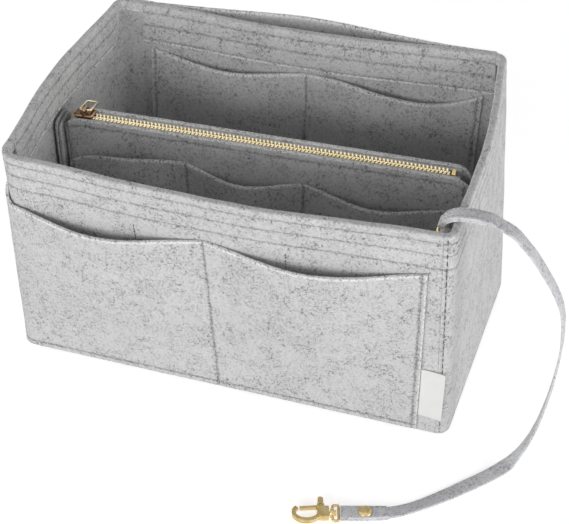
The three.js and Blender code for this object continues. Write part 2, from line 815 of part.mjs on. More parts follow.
function tab(top, thickness) {
  const half = tab_width / 2;
  return standing(extruded(roundedRectangle(-half, pouch_top - tab_foot_fall, half, top, tab_corner), thickness, 0));
}
const left_wall_tab_top = pouch_top - left_wall_tab_fall;
const right_wall_tab_top = pouch_top + right_wall_tab_rise;
for (const [name, side, wall_tab_top] of [['left', -1, left_wall_tab_top], ['right', 1, right_wall_tab_top]]) {
  const reach = pouch_half_length + layer_gap + felt / 2;
  const wall_reach = reach + felt / 2 + layer_gap + wall_tab_thickness / 2;
  const pouch_tab = tab(pouch_top - pouch_tab_fall, felt);
  pouch_tab.translate(side * reach, 0, 0);
  add(`pouch_tab_${name}`, pouch_tab, felt_finish, pouch);
  const wall_tab = tab(wall_tab_top, wall_tab_thickness);
  wall_tab.translate(side * wall_reach, 0, 0);
  const mesh = add(`wall_tab_${name}`, wall_tab, felt_finish);
  mesh.position.copy(pouch.position);
  mesh.rotation.copy(pouch.rotation);
}

// Zip tapes: an L of tape, flat beside the teeth and turned down along the panel
{
  const outer = pouch_half_width - felt - layer_gap;
  const inner = chain_half_width + layer_gap;
  const top = chain_middle + tape_thickness / 2;
  for (const [name, side] of [['zip_tape_front', -1], ['zip_tape_rear', 1]]) {
    const shape = new THREE.Shape();
    shape.moveTo(side * inner, top);
    shape.lineTo(side * outer, top);
    shape.lineTo(side * outer, top - tape_fall);
    shape.lineTo(side * (outer - tape_thickness), top - tape_fall);
    shape.lineTo(side * (outer - tape_thickness), top - tape_thickness);
    shape.lineTo(side * inner, top - tape_thickness);
    shape.closePath();
    const length = 2 * pouch_half_length - tape_left_inset - tape_right_inset;
    const middle = (tape_left_inset - tape_right_inset) / 2;
    add(name, standing(extruded(shape, length, middle)), tape_finish, pouch);
  }
}

// Zip teeth: each row is a comb on its cord; the rows stand apart so the slider's web can pass
{
  const teeth = Math.floor((chain_right - chain_left) / tooth_pitch);
  const cord_inner = chain_half_width - chain_cord;
  const tip = chain_slot / 2;
  for (const [name, side, lead_share] of [['zip_teeth_front', -1, 0.25], ['zip_teeth_rear', 1, 0.75]]) {
    const shape = new THREE.Shape();
    shape.moveTo(chain_left, side * chain_half_width);
    for (let k = 0; k < teeth; k += 1) {
      const start = chain_left + (k + lead_share) * tooth_pitch;
      const peak = start + tooth_share * tooth_pitch / 2;
      shape.lineTo(start, side * cord_inner);
      shape.lineTo(peak, side * tip);
    }
    shape.lineTo(chain_right, side * cord_inner);
    shape.lineTo(chain_right, side * chain_half_width);
    shape.closePath();
    add(name, extruded(shape, tooth_height, chain_middle), gold_finish, pouch);
  }
}

// Zip stops
{
  const low = chain_middle - tooth_height / 2;
  const high = chain_middle + tooth_height / 2;
  const tip = chain_slot / 2;
  const top_end = chain_left - layer_gap;
  const start = top_end - top_stop_length;
  const foot_start = chain_right + layer_gap;
  const front = block([start, -chain_half_width, low], [top_end, -tip, high]);
  const rear = block([start, tip, low], [top_end, chain_half_width, high]);
  const bottom = block([foot_start, -chain_half_width, low], [foot_start + stop_length, chain_half_width, high]);
  add('zip_top_stop_front', front, gold_finish, pouch);
  add('zip_top_stop_rear', rear, gold_finish, pouch);
  add('zip_bottom_stop', bottom, gold_finish, pouch);
}

// Zip slider: a plate over and one under the teeth, joined by a web, with flanges and a crown
const plate_level = tooth_height / 2 + slider_clearance;
const crown_eye_height = plate_level + slider_plate + crown_height / 2;
{
  const half = slider_length / 2;
  const wide = slider_width / 2;
  const narrow = slider_foot_width / 2;
  const flange_gap = tape_thickness / 2 + slider_clearance;
  const flange_inner = narrow - slider_flange;
  const upper = extruded(roundedRectangle(-half, -wide, half, wide, slider_corner), slider_plate, plate_level + slider_plate / 2);
  const lower = extruded(roundedRectangle(-half, -narrow, half, narrow, slider_corner), slider_plate, -plate_level - slider_plate / 2);
  const flange_run = half - slider_corner;
  let solid = toSolid(upper).add(toSolid(lower));
  for (const side of [-1, 1]) {
    const ys = [side * flange_inner, side * narrow].sort((a, b) => a - b);
    const overlap = slider_plate / 2;
    solid = solid.add(toSolid(block([-flange_run, ys[0], flange_gap], [flange_run, ys[1], plate_level + overlap])));
    solid = solid.add(toSolid(block([-flange_run, ys[0], -plate_level - overlap], [flange_run, ys[1], -flange_gap])));
  }
  const web_half = slider_web / 2;
  const web = block([-half, -web_half, -plate_level - slider_plate / 2], [-half + slider_web_length, web_half, plate_level + slider_plate / 2]);
  solid = solid.add(toSolid(web));
  const crown_foot = plate_level + slider_plate / 2;
  const crown_top = plate_level + slider_plate + crown_height;
  const crown_shape = roundedRectangle(-crown_span / 2, crown_foot, crown_span / 2, crown_top, crown_corner);
  solid = solid.add(toSolid(standing(extruded(crown_shape, crown_length, 0))));
  solid = solid.subtract(toSolid(rod(crown_eye_radius, crown_length + cut_overrun, 'x', [0, 0, crown_eye_height])));
  const slider = add('zip_slider', fromSolid(solid), gold_finish, pouch);
  slider.position.set(slider_rest, 0, chain_middle);
}

// Wire frame lying flat: rounded outside and in, its first bar along X at the origin
function wireFrame(width, length, wire, corner) {
  const half = width / 2;
  const shape = roundedRectangle(-half, -wire / 2, half, length - wire / 2, corner);
  const hole_corner = Math.max(corner - wire, wire / 4);
  const hole = roundedRectangle(-half + wire, wire / 2, half - wire, length - 1.5 * wire, hole_corner, new THREE.Path());
  shape.holes.push(hole);
  const bevel = wire / 4;
  const geometry = new THREE.ExtrudeGeometry(shape, {
    depth: wire - 2 * bevel,
    bevelThickness: bevel,
    bevelSize: bevel,
    bevelOffset: -bevel,
    bevelSegments: 1,
    curveSegments: arc_steps / 2,
  });
  geometry.translate(0, 0, bevel - wire / 2);
  return geometry;
}

// Zip pull: a plain wire frame hinged in the crown, lying back over the pouch's rear edge
{
  const frame = wireFrame(pull_width, pull_length, pull_wire, pull_corner);
  frame.rotateX(-THREE.MathUtils.degToRad(pull_rest_angle));
  frame.translate(slider_rest, 0, chain_middle + crown_eye_height);
  add('zip_pull', frame, gold_finish, pouch);
}

// Felt loop inside the right wall, and the ring it carries
{
  const bar_z = box_height - ring_fall;
  const ring_y = ring_inset - halfDepth(bar_z);
  const loop_foot = box_height - loop_foot_fall;
  const loop_top = box_height - loop_top_fall;
  const share = 2.5 + ring_y / (2 * (halfDepth(bar_z) - corner_radius));
  const face = wallPoint(share, loop_top, -2 * felt - layer_gap - loop_clearance).x;
  const bar_x = face - loop_reach;
  const half = loop_width / 2;
  const plate = block([face - felt, ring_y - half, loop_foot], [face, ring_y + half, loop_top]);
  const tube = rod(loop_bore + felt, loop_width, 'y', [bar_x, ring_y, bar_z]);
  const bore = rod(loop_bore, loop_width + cut_overrun, 'y', [bar_x, ring_y, bar_z]);
  add('ring_loop', fromSolid(toSolid(plate).add(toSolid(tube)).subtract(toSolid(bore))), felt_finish);
  const ring = standing(wireFrame(ring_width, ring_height, ring_wire, ring_corner));
  ring.rotateY(-THREE.MathUtils.degToRad(ring_tilt));
  ring.translate(bar_x, ring_y, bar_z);
  add('strap_ring', ring, gold_finish);
}

// Key strap: a flat band carried along its route, doubled near both ends
const doubled_half = strap_felt + layer_gap / 2;
{
  const curve = new THREE.CatmullRomCurve3(strap_route.map((spot) => new THREE.Vector3(...spot)));
  const length = curve.getLength();
  const stations = [];
  for (let k = 0; k <= strap_steps; k += 1) {
    stations.push(k / strap_steps * length);
  }
  for (const fold of [strap_ring_fold, length - strap_clasp_fold]) {
    stations.push(fold - strap_edge_round, fold + strap_edge_round);
  }
  stations.sort((a, b) => a - b);
  const inFold = (reach) => reach < strap_ring_fold || reach > length - strap_clasp_fold;
  const half = strap_width / 2;
  const section = (thick) => [
    [-half + strap_edge_round, -thick], [half - strap_edge_round, -thick],
    [half, -thick + strap_edge_round], [half, thick - strap_edge_round],
    [half - strap_edge_round, thick], [-half + strap_edge_round, thick],
    [-half, thick - strap_edge_round], [-half, -thick + strap_edge_round],
  ];
  const rings = stations.map((reach) => {
    const share = clamp01(reach / length);
    const spot = curve.getPointAt(share);
    const tangent = curve.getTangentAt(share);
    const order = curve.getUtoTmapping(share) * (strap_turns.length - 1);
    const before = Math.min(Math.floor(order), strap_turns.length - 2);
    const turn = THREE.MathUtils.degToRad(mix(strap_turns[before], strap_turns[before + 1], order - before));
    const roll = THREE.MathUtils.degToRad(mix(strap_rolls[before], strap_rolls[before + 1], order - before));
    const across = new THREE.Vector3(-Math.sin(turn), Math.cos(turn), 0);
    across.addScaledVector(tangent, -across.dot(tangent)).normalize();
    across.applyAxisAngle(tangent, -roll);
    const through = new THREE.Vector3().crossVectors(across, tangent);
    const thick = inFold(reach) ? doubled_half : strap_felt / 2;
    return section(thick).map(([a, b]) => spot.clone().addScaledVector(across, a).addScaledVector(through, b));
  });
  const band = toSolid(sweep(rings, section(doubled_half)));
  const hole_radius = rivet_post_radius + layer_gap;
  const hole = rod(hole_radius, rivet_drill, 'z', [rivet_x, rivet_y, clasp_axis_height]);
  add('key_strap', fromSolid(band.subtract(toSolid(hole))), felt_finish);
}

// Rivet through the doubled end of the strap
{
  const stand = doubled_half + layer_gap / 2;
  const profile = [
    [0, -stand - rivet_foot], [rivet_foot_radius, -stand - rivet_foot], [rivet_foot_radius, -stand],
    [rivet_post_radius, -stand], [rivet_post_radius, stand], [rivet_cap_radius, stand],
    [rivet_cap_radius, stand + rivet_cap / 2], [rivet_cap_radius * rivet_dome_share, stand + rivet_cap],
    [0, stand + rivet_cap],
  ];
  const rivet = new THREE.LatheGeometry(profile.map(([x, y]) => new THREE.Vector2(x, y)), round_sides);
  rivet.rotateX(Math.PI / 2);
  rivet.translate(rivet_x, rivet_y, clasp_axis_height);
  add('strap_rivet', fromSolid(toSolid(rivet)), gold_finish);
}

// Swivel clasp, in its own coordinates: X away from the strap, Y across it
const clasp = new THREE.Group();
clasp.position.set(clasp_x, clasp_y, clasp_axis_height);
clasp.rotation.z = THREE.MathUtils.degToRad(clasp_turn);
group.add(clasp);

// Clasp eye: the frame the strap folds round, with the swivel's collar on its far bar
{
  const frame = wireFrame(eye_width, eye_length, eye_wire, eye_wire);
  frame.rotateZ(-Math.PI / 2);
  frame.translate(eye_gap + eye_wire / 2, 0, 0);
  const bar_start = eye_gap + eye_length - eye_wire;
  const collar = rod(collar_radius, collar_length, 'x', [bar_start + collar_length / 2, 0, 0]);
  const bore = rod(stem_bore, collar_length + cut_overrun, 'x', [bar_start + collar_length / 2, 0, 0]);
  add('clasp_eye', fromSolid(toSolid(frame).add(toSolid(collar)).subtract(toSolid(bore))), gold_finish, clasp);
}

// Clasp body: stem and head in the swivel, block, claw, and cheeks on both sides of the gate
const gate_pivot_y = gate_side * gate_pivot_across;
{
  const half = body_width / 2;
  const body_end = body_start + body_length;
  const box = extruded(roundedRectangle(body_start, -half, body_end, half, body_corner), body_thickness, 0);
  const head_start = eye_gap + eye_length - eye_wire - layer_gap - stem_head;
  const stem_length = body_start + body_corner - head_start;
  const stem = rod(stem_radius, stem_length, 'x', [head_start + stem_length / 2, 0, 0]);
  const head = rod(stem_head_radius, stem_head, 'x', [head_start + stem_head / 2, 0, 0]);
  const shape = new THREE.Shape();
  const claw_steps = 8 * arc_steps;
  const arc = (long, short) => {
    const points = [];
    for (let k = 0; k <= claw_steps; k += 1) {
      const angle = THREE.MathUtils.degToRad(mix(claw_root_angle, 360 + claw_tip_angle, k / claw_steps));
      points.push(new THREE.Vector2(claw_centre + long * Math.cos(angle), gate_side * short * Math.sin(angle)));
    }
    return points;
  };
  const outer = arc(claw_long_radius, claw_short_radius);
  const inner = arc(claw_long_radius - claw_band, claw_short_radius - claw_band);
  shape.setFromPoints([...outer, ...inner.reverse()]);
  const claw = extruded(shape, claw_thickness, 0);
  const cheek = rod(cheek_radius, body_thickness, 'z', [gate_pivot_along, gate_pivot_y, 0]);
  const slot_half = gate_thickness / 2 + gate_clearance;
  const slot_ys = [gate_side * (gate_pivot_across - gate_slot_depth), gate_side * claw_long_radius].sort((a, b) => a - b);
  const slot_start = gate_pivot_along - gate_slot_depth;
  const slot = block([slot_start, slot_ys[0], -slot_half], [claw_centre, slot_ys[1], slot_half]);
  const bore = rod(gate_pin_bore, body_thickness + cut_overrun, 'z', [gate_pivot_along, gate_pivot_y, 0]);
  let solid = toSolid(box).add(toSolid(stem)).add(toSolid(head)).add(toSolid(claw)).add(toSolid(cheek));
  solid = solid.subtract(toSolid(slot)).subtract(toSolid(bore));
  add('clasp_body', fromSolid(solid), gold_finish, clasp);
  const pin = rod(gate_pin_radius, body_thickness, 'z', [gate_pivot_along, gate_pivot_y, 0]);
  add('clasp_gate_pin', pin, gold_finish, clasp);
}

// Clasp gate: boss, arm to the claw's tip, and the thumb knob
{
  const boss = rod(gate_boss_radius, gate_thickness, 'z', [0, 0, 0]);
  const arm_half = gate_arm_width / 2;
  const arm = extruded(roundedRectangle(0, -arm_half, gate_arm_length, arm_half, arm_half / 2), gate_thickness, 0);
  arm.rotateZ(-gate_side * Math.asin(gate_arm_drop / gate_arm_length));
  const thumb_half = thumb_width / 2;
  const knob = roundedRectangle(-thumb_half, -thumb_half, thumb_half, thumb_reach, thumb_half * knob_round_share);
  const thumb = extruded(knob, gate_thickness, 0);
  if (gate_side < 0) thumb.rotateZ(Math.PI);
  const bore = rod(gate_pin_bore, gate_thickness + cut_overrun, 'z', [0, 0, 0]);
  const gate = fromSolid(toSolid(boss).add(toSolid(arm)).add(toSolid(thumb)).subtract(toSolid(bore)));
  gate.translate(gate_pivot_along, gate_pivot_y, 0);
  add('clasp_gate', gate, gold_finish, clasp);
}

export default group;
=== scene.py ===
# Felt purse organizer insert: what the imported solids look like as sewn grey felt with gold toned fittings.
# The sections follow the work of making it: strap and clasp, box walls, pockets, pouch, zip and label.

import math

import bmesh
import bpy
from mathutils import Matrix, Vector, noise


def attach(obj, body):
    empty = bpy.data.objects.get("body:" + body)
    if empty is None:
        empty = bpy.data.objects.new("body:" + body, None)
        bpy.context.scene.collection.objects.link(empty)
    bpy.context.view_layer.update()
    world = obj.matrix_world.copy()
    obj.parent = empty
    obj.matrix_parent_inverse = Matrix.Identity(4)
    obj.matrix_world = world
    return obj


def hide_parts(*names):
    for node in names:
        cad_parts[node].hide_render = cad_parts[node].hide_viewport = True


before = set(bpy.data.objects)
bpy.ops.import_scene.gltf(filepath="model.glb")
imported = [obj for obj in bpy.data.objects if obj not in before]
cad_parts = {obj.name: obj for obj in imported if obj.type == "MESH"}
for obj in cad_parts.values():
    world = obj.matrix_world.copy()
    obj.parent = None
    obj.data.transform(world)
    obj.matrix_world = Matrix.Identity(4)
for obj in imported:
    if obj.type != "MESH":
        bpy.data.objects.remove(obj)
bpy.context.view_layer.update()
mm = 0.001

# Camera, where the photograph was taken: in front of the box, to its right and above it, looking
# down on the open top.
camera_place = Vector((213.16, -675.40, 661.02)) * mm
camera_azimuth = math.radians(-16.574)
camera_dip = math.radians(40.914)
camera_roll = math.radians(-0.26)
photo_width, focal_pixels = 569, 1350.05


def placed_object(name, data):
    """A new object of the scene, at the origin."""
    made = bpy.data.objects.new(name, data)
    bpy.context.scene.collection.objects.link(made)
    return made


camera_data = bpy.data.cameras.new("photo_camera")
camera_data.sensor_width = 36
camera_data.lens = camera_data.sensor_width * focal_pixels / photo_width
camera = placed_object("photo_camera", camera_data)
camera.location = camera_place
camera_aim = Vector((
    math.sin(camera_azimuth) * math.cos(camera_dip),
    math.cos(camera_azimuth) * math.cos(camera_dip),
    -math.sin(camera_dip),
))
camera_turn = camera_aim.to_track_quat("-Z", "Y").to_matrix() @ Matrix.Rotation(-camera_roll, 3, "Z")
camera.rotation_euler = camera_turn.to_euler()
bpy.context.scene.camera = camera


# Key strap: one band of grey felt, folded back and sewn at both ends, round the ring inside the box and
# round the clasp's eye. It lies where it fell, out over the rim and down on to the table.
strap_width = 9.6
strap_felt = 1.5
strap_layer_gap = 0.3
strap_edge_round = 0.4
strap_ring_fold = 34
strap_clasp_fold = 30
strap_route = [
    (128.6, -78.5, 174.3), (131.5, -78.7, 179), (136.2, -79, 182.4), (142.4, -79.4, 184), (149, -80, 184.9),
    (156.2, -80.5, 184.8), (163.6, -81.5, 183.1), (171.1, -82.5, 180), (177.3, -84, 175.2),
    (184.4, -85.5, 168.2),
    (191.6, -87, 159.2), (198.4, -88.2, 149.2), (203.8, -89.2, 138), (206.6, -90, 124), (207.7, -90, 107),
    (207.4, -90, 90), (205.8, -90, 68), (202.6, -90, 44), (198.6, -90.4, 26), (194.6, -90.8, 13.6),
    (190.6, -92.2, 5), (185.2, -97.6, 1.6), (177, -107, 1.15), (165, -119.8, 1.5), (152.3, -132.8, 2),
    (139.6, -144.2, 2.4), (126.4, -153.2, 3), (111.5, -158.9, 3.6), (97.2, -163.2, 3.6),
]
strap_turns = [(0, 0)] * 17 + [
    (1, 0), (3, 0), (8, 0), (20, 0), (35, 0), (43, -2), (45, -6), (44, -12), (39, -15), (28, -10), (18, 0),
    (16.5, 0),
]


class Shade:
    """A value in a material's nodes. Arithmetic on it adds Math nodes, and node() adds any other kind."""

    def __init__(self, tree, socket=None):
        self.tree = tree
        self.socket = socket

    def node(self, kind, settings=None, sockets=None, output=0):
        made = self.tree.nodes.new(kind)
        for name, value in (settings or {}).items():
            setattr(made, name, value)
        for name, value in (sockets or {}).items():
            if isinstance(value, Shade):
                self.tree.links.new(value.socket, made.inputs[name])
            else:
                made.inputs[name].default_value = value
        return Shade(self.tree, made.outputs[output])

    def maths(self, operation, first, second):
        return self.node("ShaderNodeMath", {"operation": operation}, {0: first, 1: second})

    def __add__(self, other):
        return self.maths("ADD", self, other)

    def __radd__(self, other):
        return self.maths("ADD", other, self)

    def __sub__(self, other):
        return self.maths("SUBTRACT", self, other)

    def __rsub__(self, other):
        return self.maths("SUBTRACT", other, self)

    def __mul__(self, other):
        return self.maths("MULTIPLY", self, other)

    def __rmul__(self, other):
        return self.maths("MULTIPLY", other, self)

    def between(self, low, high):
        """0 below low, 1 above high and smooth between."""
        settings = {"interpolation_type": "SMOOTHSTEP", "clamp": True}
        return self.node("ShaderNodeMapRange", settings, {"Value": self, "From Min": low, "From Max": high})

    def mix(self, first, second):
        """From the first colour to the second as this value goes from 0 to 1."""
        settings = {"data_type": "RGBA", "blend_type": "MIX"}
        sides = {"Factor": self}
        for key, colour in ((6, first), (7, second)):
            sides[key] = colour if isinstance(colour, Shade) else (*colour, 1)
        return self.node("ShaderNodeMix", settings, sides, 2)

    def sibling(self, output):
        """Another output of the node that this value comes from."""
        return Shade(self.tree, self.socket.node.outputs[output])

    def feeds(self, shader, socket):
        self.tree.links.new(self.socket, shader.inputs[socket])


def new_material(name, constants):
    material = bpy.data.materials.new(name)
    material.use_nodes = True
    shader = material.node_tree.nodes["Principled BSDF"]
    for socket, value in constants.items():
        shader.inputs[socket].default_value = value
    return material, Shade(material.node_tree), shader


def felt_material(name, light, dark, fibre_amount=1.0):
    """Needled felt: soft patches, and curled dark and pale fibres in clusters, under a matt nap, with painted shade
    along its stitch grooves and a painted highlight on its cut edges.
    """
    material, nodes, shader = new_material(name, {
        "Roughness": 0.95, "Sheen Weight": 0.15, "Sheen Roughness": 0.6, "Specular IOR Level": 0.12,
    })
    place = nodes.node("ShaderNodeTexCoord", output=3)

    def noise_at(scale, detail, turn=(0, 0, 0), stretch=(1, 1, 1), distortion=0.0):
        turned = nodes.node("ShaderNodeMapping", None, {"Vector": place, "Rotation": turn, "Scale": stretch})
        return nodes.node("ShaderNodeTexNoise", None, {
            "Vector": turned, "Scale": scale, "Detail": detail, "Roughness": 0.6, "Distortion": distortion,
        })

    def winding(noise_value, width):
        """1 along the winding lines where a noise passes a half, as curled fibres lie."""
        away = noise_value.maths("ABSOLUTE", noise_value - 0.5, 0.0)
        return 1 - away.between(width * 0.3, width)

    patch = noise_at(24.0, 3.0)
    cluster = noise_at(75.0, 3.0, (0.3, 0.8, 0.1), distortion=0.8)
    broken = noise_at(520.0, 1.0, (0.2, 0.4, 0.9))
    curls = noise_at(430.0, 1.5, (0.5, 0.7, 0.4), (1, 1, 0.6), 0.6)
    long_curls = noise_at(260.0, 1.5, (-0.9, 0.3, 1.1), (1, 0.7, 1), 0.8)
    pale_curls = noise_at(380.0, 1.0, (1.2, -0.5, 0.7), (0.8, 1, 1), 0.5)
    speck = noise_at(950.0, 1.0, (0.7, 0.2, -0.6))
    gathered = cluster.between(0.4, 0.62)
    short_fibres = winding(curls, 0.045) * broken.between(0.42, 0.54) * (0.4 + gathered * 0.6)
    long_fibres = winding(long_curls, 0.022) * broken.between(0.38, 0.48) * (0.35 + gathered * 0.5)
    specks = speck.between(0.58, 0.7) * (0.3 + gathered * 0.4)
    darkened = (short_fibres * 0.72 + long_fibres * 0.74 + specks * 0.5) * fibre_amount
    darkened = darkened + gathered * 0.07 + patch.between(0.3, 0.75) * 0.07
    pale = tuple(min(1, c * 1.16) for c in light)
    ground = (winding(pale_curls, 0.06) * 0.6).mix(light, pale)
    # Painted shade: the felt darkens along its stitch grooves, whose depth is kept in 'sewn'. Partly this is the
    # darker tone of pressed felt, and partly it is painted shade for the shade that falls in the grooves.
    groove_shade = nodes.node("ShaderNodeAttribute", {"attribute_name": "sewn"}, output=2)
    # Painted highlight: the raw cut edges, marked in 'cut', are lightened as if they caught the light.
    cut = nodes.node("ShaderNodeAttribute", {"attribute_name": "cut"}, output=2).between(0.2, 0.8)
    frayed = noise_at(640.0, 1.0, (0.4, 1.3, -0.2))
    # The painted highlight's colour on the cut edges.
    edge = tuple(min(0.95, c * 1.85) for c in light)
    ground = (cut * (0.6 + frayed.between(0.4, 0.5) * 0.4)).mix(ground, edge)
    # Painted shade along the stitch grooves, broken up by fibre noise.
    darkened = darkened + groove_shade * (0.3 + broken.between(0.42, 0.56) * 0.7)
    # Fewer dark fibres under the painted highlight on the cut edges, and dark frayed flecks along them.
    darkened = darkened * (1 - cut * 0.4) + cut * frayed.between(0.56, 0.62) * 0.6
    darkened.maths("MINIMUM", darkened, 1.0).mix(ground, dark).feeds(shader, "Base Color")
    nap = noise_at(1500.0, 3.0)
    height = nap * 0.6 + broken * 0.5 + cluster * 0.6 - short_fibres * 0.25
    bump = nodes.node("ShaderNodeBump", None, {"Height": height, "Strength": 0.45, "Distance": 0.0006})
    bump.feeds(shader, "Normal")
    return material


grey_felt = felt_material("grey_felt", (0.665, 0.665, 0.665), (0.2, 0.2, 0.205))
# The strap's felt is paler than the box's. Partly this is its own tone, and partly it is painted light for the
# light that falls on the strap where it hangs outside the box.
strap_cloth = felt_material("pale_strap_felt", (0.74, 0.74, 0.76), (0.27, 0.27, 0.29), 0.9)


def add_piece(name, mesh, materials, body, replaced=(), smooth=True):
    """A finished piece: its mesh, its material, the body it rides on and the solids that it stands for."""
    piece = placed_object(name, mesh)
    mesh.materials.clear()
    for material in materials:
        mesh.materials.append(material)
    mesh.polygons.foreach_set("use_smooth", [smooth] * len(mesh.polygons))
    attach(piece, body)
    if replaced:
        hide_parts(*replaced)
    return piece


def soften_edges(piece, width, segments=2, angle=50, polished=False):
    """Rounds the piece's edges. Beside polished ones, its faces shade as if they were flat."""
    bevel = piece.modifiers.new("soft_edges", "BEVEL")
    bevel.width = width * mm
    bevel.segments = segments
    bevel.limit_method = "ANGLE"
    bevel.angle_limit = math.radians(angle)
    bevel.harden_normals = polished
    return piece


def closed_mesh(name, points, faces):
    """Points in millimetres and faces as a mesh whose faces point out."""
    mesh = bpy.data.meshes.new(name)
    mesh.from_pydata([[c * mm for c in p] for p in points], [], faces)
    shape = bmesh.new()
    shape.from_mesh(mesh)
    bmesh.ops.recalc_face_normals(shape, faces=shape.faces)
    shape.to_mesh(mesh)
    shape.free()
    return mesh


def painted_points(mesh, name, values):
    """Keeps a value from 0 to 1 at each point, which the felt's material reads for its painted shade and painted
    highlight.
    """
    kept = mesh.attributes.new(name, "FLOAT", "POINT")
    kept.data.foreach_set("value", [min(1.0, max(0.0, value)) for value in values])


def swept_mesh(name, rings):
    """A closed section carried along stations: each ring holds the section's points at one station."""
    count = len(rings[0])
    points = [p for ring in rings for p in ring]
    faces = []
    for k in range(len(rings) - 1):
        for i in range(count):
            j = (i + 1) % count
            faces.append((k * count + i, k * count + j, (k + 1) * count + j, (k + 1) * count + i))
    faces.append(tuple(range(count)))
    faces.append(tuple(range((len(rings) - 1) * count, len(rings) * count)))
    return closed_mesh(name, points, faces)


def new_tree(name, inputs):
    """A tree of Geometry Nodes with one geometry, its other inputs, and what finds each of them."""
    tree = bpy.data.node_groups.new(name, "GeometryNodeTree")
    tree.interface.new_socket("Geometry", in_out="OUTPUT", socket_type="NodeSocketGeometry")
    tree.interface.new_socket("Geometry", in_out="INPUT", socket_type="NodeSocketGeometry")
    sizes = {}
    for size, kind, value in inputs:
        socket = tree.interface.new_socket(size, in_out="INPUT", socket_type="NodeSocket" + kind)
        socket.default_value = value
        sizes[size] = socket.identifier
    return tree, sizes


def end_tree(tree, copies, material):
    """Turns the copies into one real mesh of the material."""
    real = tree.nodes.new("GeometryNodeRealizeInstances")
    painted = tree.nodes.new("GeometryNodeSetMaterial")
    painted.inputs["Material"].default_value = material
    tree.links.new(copies.outputs[0], real.inputs[0])
    tree.links.new(real.outputs[0], painted.inputs["Geometry"])
    tree.links.new(painted.outputs[0], tree.nodes.new("NodeGroupOutput").inputs[0])


def stitch_tree(name, material):
    """Geometry Nodes that lay one thread stitch after another along each line of a mesh of edges."""
    tree, sizes = new_tree(name, (
        ("Pitch", "Float", 3.2 * mm), ("Stitch Length", "Float", 2.7 * mm),
        ("Thread Radius", "Float", 0.3 * mm), ("Seed", "Int", 3),
    ))
    start = tree.nodes.new("NodeGroupInput")
    to_curve = tree.nodes.new("GeometryNodeMeshToCurve")
    spaced = tree.nodes.new("GeometryNodeResampleCurve")
    spaced.mode = "LENGTH"
    stitch = tree.nodes.new("GeometryNodeMeshUVSphere")
    stitch.inputs["Segments"].default_value = 6
    stitch.inputs["Rings"].default_value = 4
    stitch.inputs["Radius"].default_value = 1
    shape = tree.nodes.new("ShaderNodeCombineXYZ")
    half = tree.nodes.new("ShaderNodeMath")
    half.operation = "MULTIPLY"
    half.inputs[1].default_value = 0.5
    stretched = tree.nodes.new("GeometryNodeTransform")
    along = tree.nodes.new("GeometryNodeInputTangent")
    aligned = tree.nodes.new("FunctionNodeAlignRotationToVector")
    aligned.axis = "Z"
    wander = tree.nodes.new("FunctionNodeRandomValue")
    wander.data_type = "FLOAT"
    wander.inputs["Min"].default_value = 0.85
    wander.inputs["Max"].default_value = 1.1
    placed = tree.nodes.new("GeometryNodeInstanceOnPoints")
    link = tree.links.new
    link(start.outputs["Geometry"], to_curve.inputs[0])
    link(to_curve.outputs[0], spaced.inputs["Curve"])
    link(start.outputs["Pitch"], spaced.inputs["Length"])
    link(start.outputs["Stitch Length"], half.inputs[0])
    link(start.outputs["Thread Radius"], shape.inputs["X"])
    link(start.outputs["Thread Radius"], shape.inputs["Y"])
    link(half.outputs[0], shape.inputs["Z"])
    link(stitch.outputs["Mesh"], stretched.inputs["Geometry"])
    link(shape.outputs[0], stretched.inputs["Scale"])
    link(along.outputs[0], aligned.inputs["Vector"])
    link(start.outputs["Seed"], wander.inputs["Seed"])
    link(spaced.outputs[0], placed.inputs["Points"])
    link(stretched.outputs[0], placed.inputs["Instance"])
    link(aligned.outputs[0], placed.inputs["Rotation"])
    link(wander.outputs["Value"], placed.inputs["Scale"])
    end_tree(tree, placed, material)
    return tree, sizes


def thread_material(name, roughness, sheen, dark, light):
    """Twisted thread, whose strands are darker and lighter in turn."""
    material, nodes, shader = new_material(name, {"Roughness": roughness, "Sheen Weight": sheen})
    twist = nodes.node("ShaderNodeTexNoise", None, {
        "Vector": nodes.node("ShaderNodeTexCoord", output=3), "Scale": 1500.0, "Detail": 2.0,
    })
    twist.between(0.35, 0.65).mix(dark, light).feeds(shader, "Base Color")
    return material


grey_thread = thread_material("grey_thread", 0.75, 0.2, (0.3, 0.3, 0.3), (0.46, 0.46, 0.46))
stitches, stitch_sizes = stitch_tree("thread_stitches", grey_thread)
stitch_share = 0.82


def realised(piece, tree, values, sizes):
    """The mesh that a tree of Geometry Nodes makes of the piece, without the modifier."""
    nodes = piece.modifiers.new(tree.name, "NODES")
    nodes.node_group = tree
    for name, value in values.items():
        nodes[sizes[name]] = value
    graph = bpy.context.evaluated_depsgraph_get()
    mesh = bpy.data.meshes.new_from_object(piece.evaluated_get(graph), depsgraph=graph)
    piece.modifiers.remove(nodes)
    return mesh


def sew(name, lines, body, pitch=3.2, thread=0.3, seed=3, yarn=grey_thread):
    """Rows of stitches along lines of points in millimetres."""
    points = []
    edges = []
    for line in lines:
        edges += [(len(points) + k, len(points) + k + 1) for k in range(len(line) - 1)]
        points += [[c * mm for c in p] for p in line]
    mesh = bpy.data.meshes.new(name + "_lines")
    mesh.from_pydata(points, edges, [])
    guide = placed_object(name + "_lines", mesh)
    values = {
        "Pitch": pitch * mm, "Stitch Length": stitch_share * pitch * mm, "Thread Radius": thread * mm, "Seed": seed,
    }
    sewn = realised(guide, stitches, values, stitch_sizes)
    bpy.data.objects.remove(guide)
    return add_piece(name, sewn, [yarn], body)


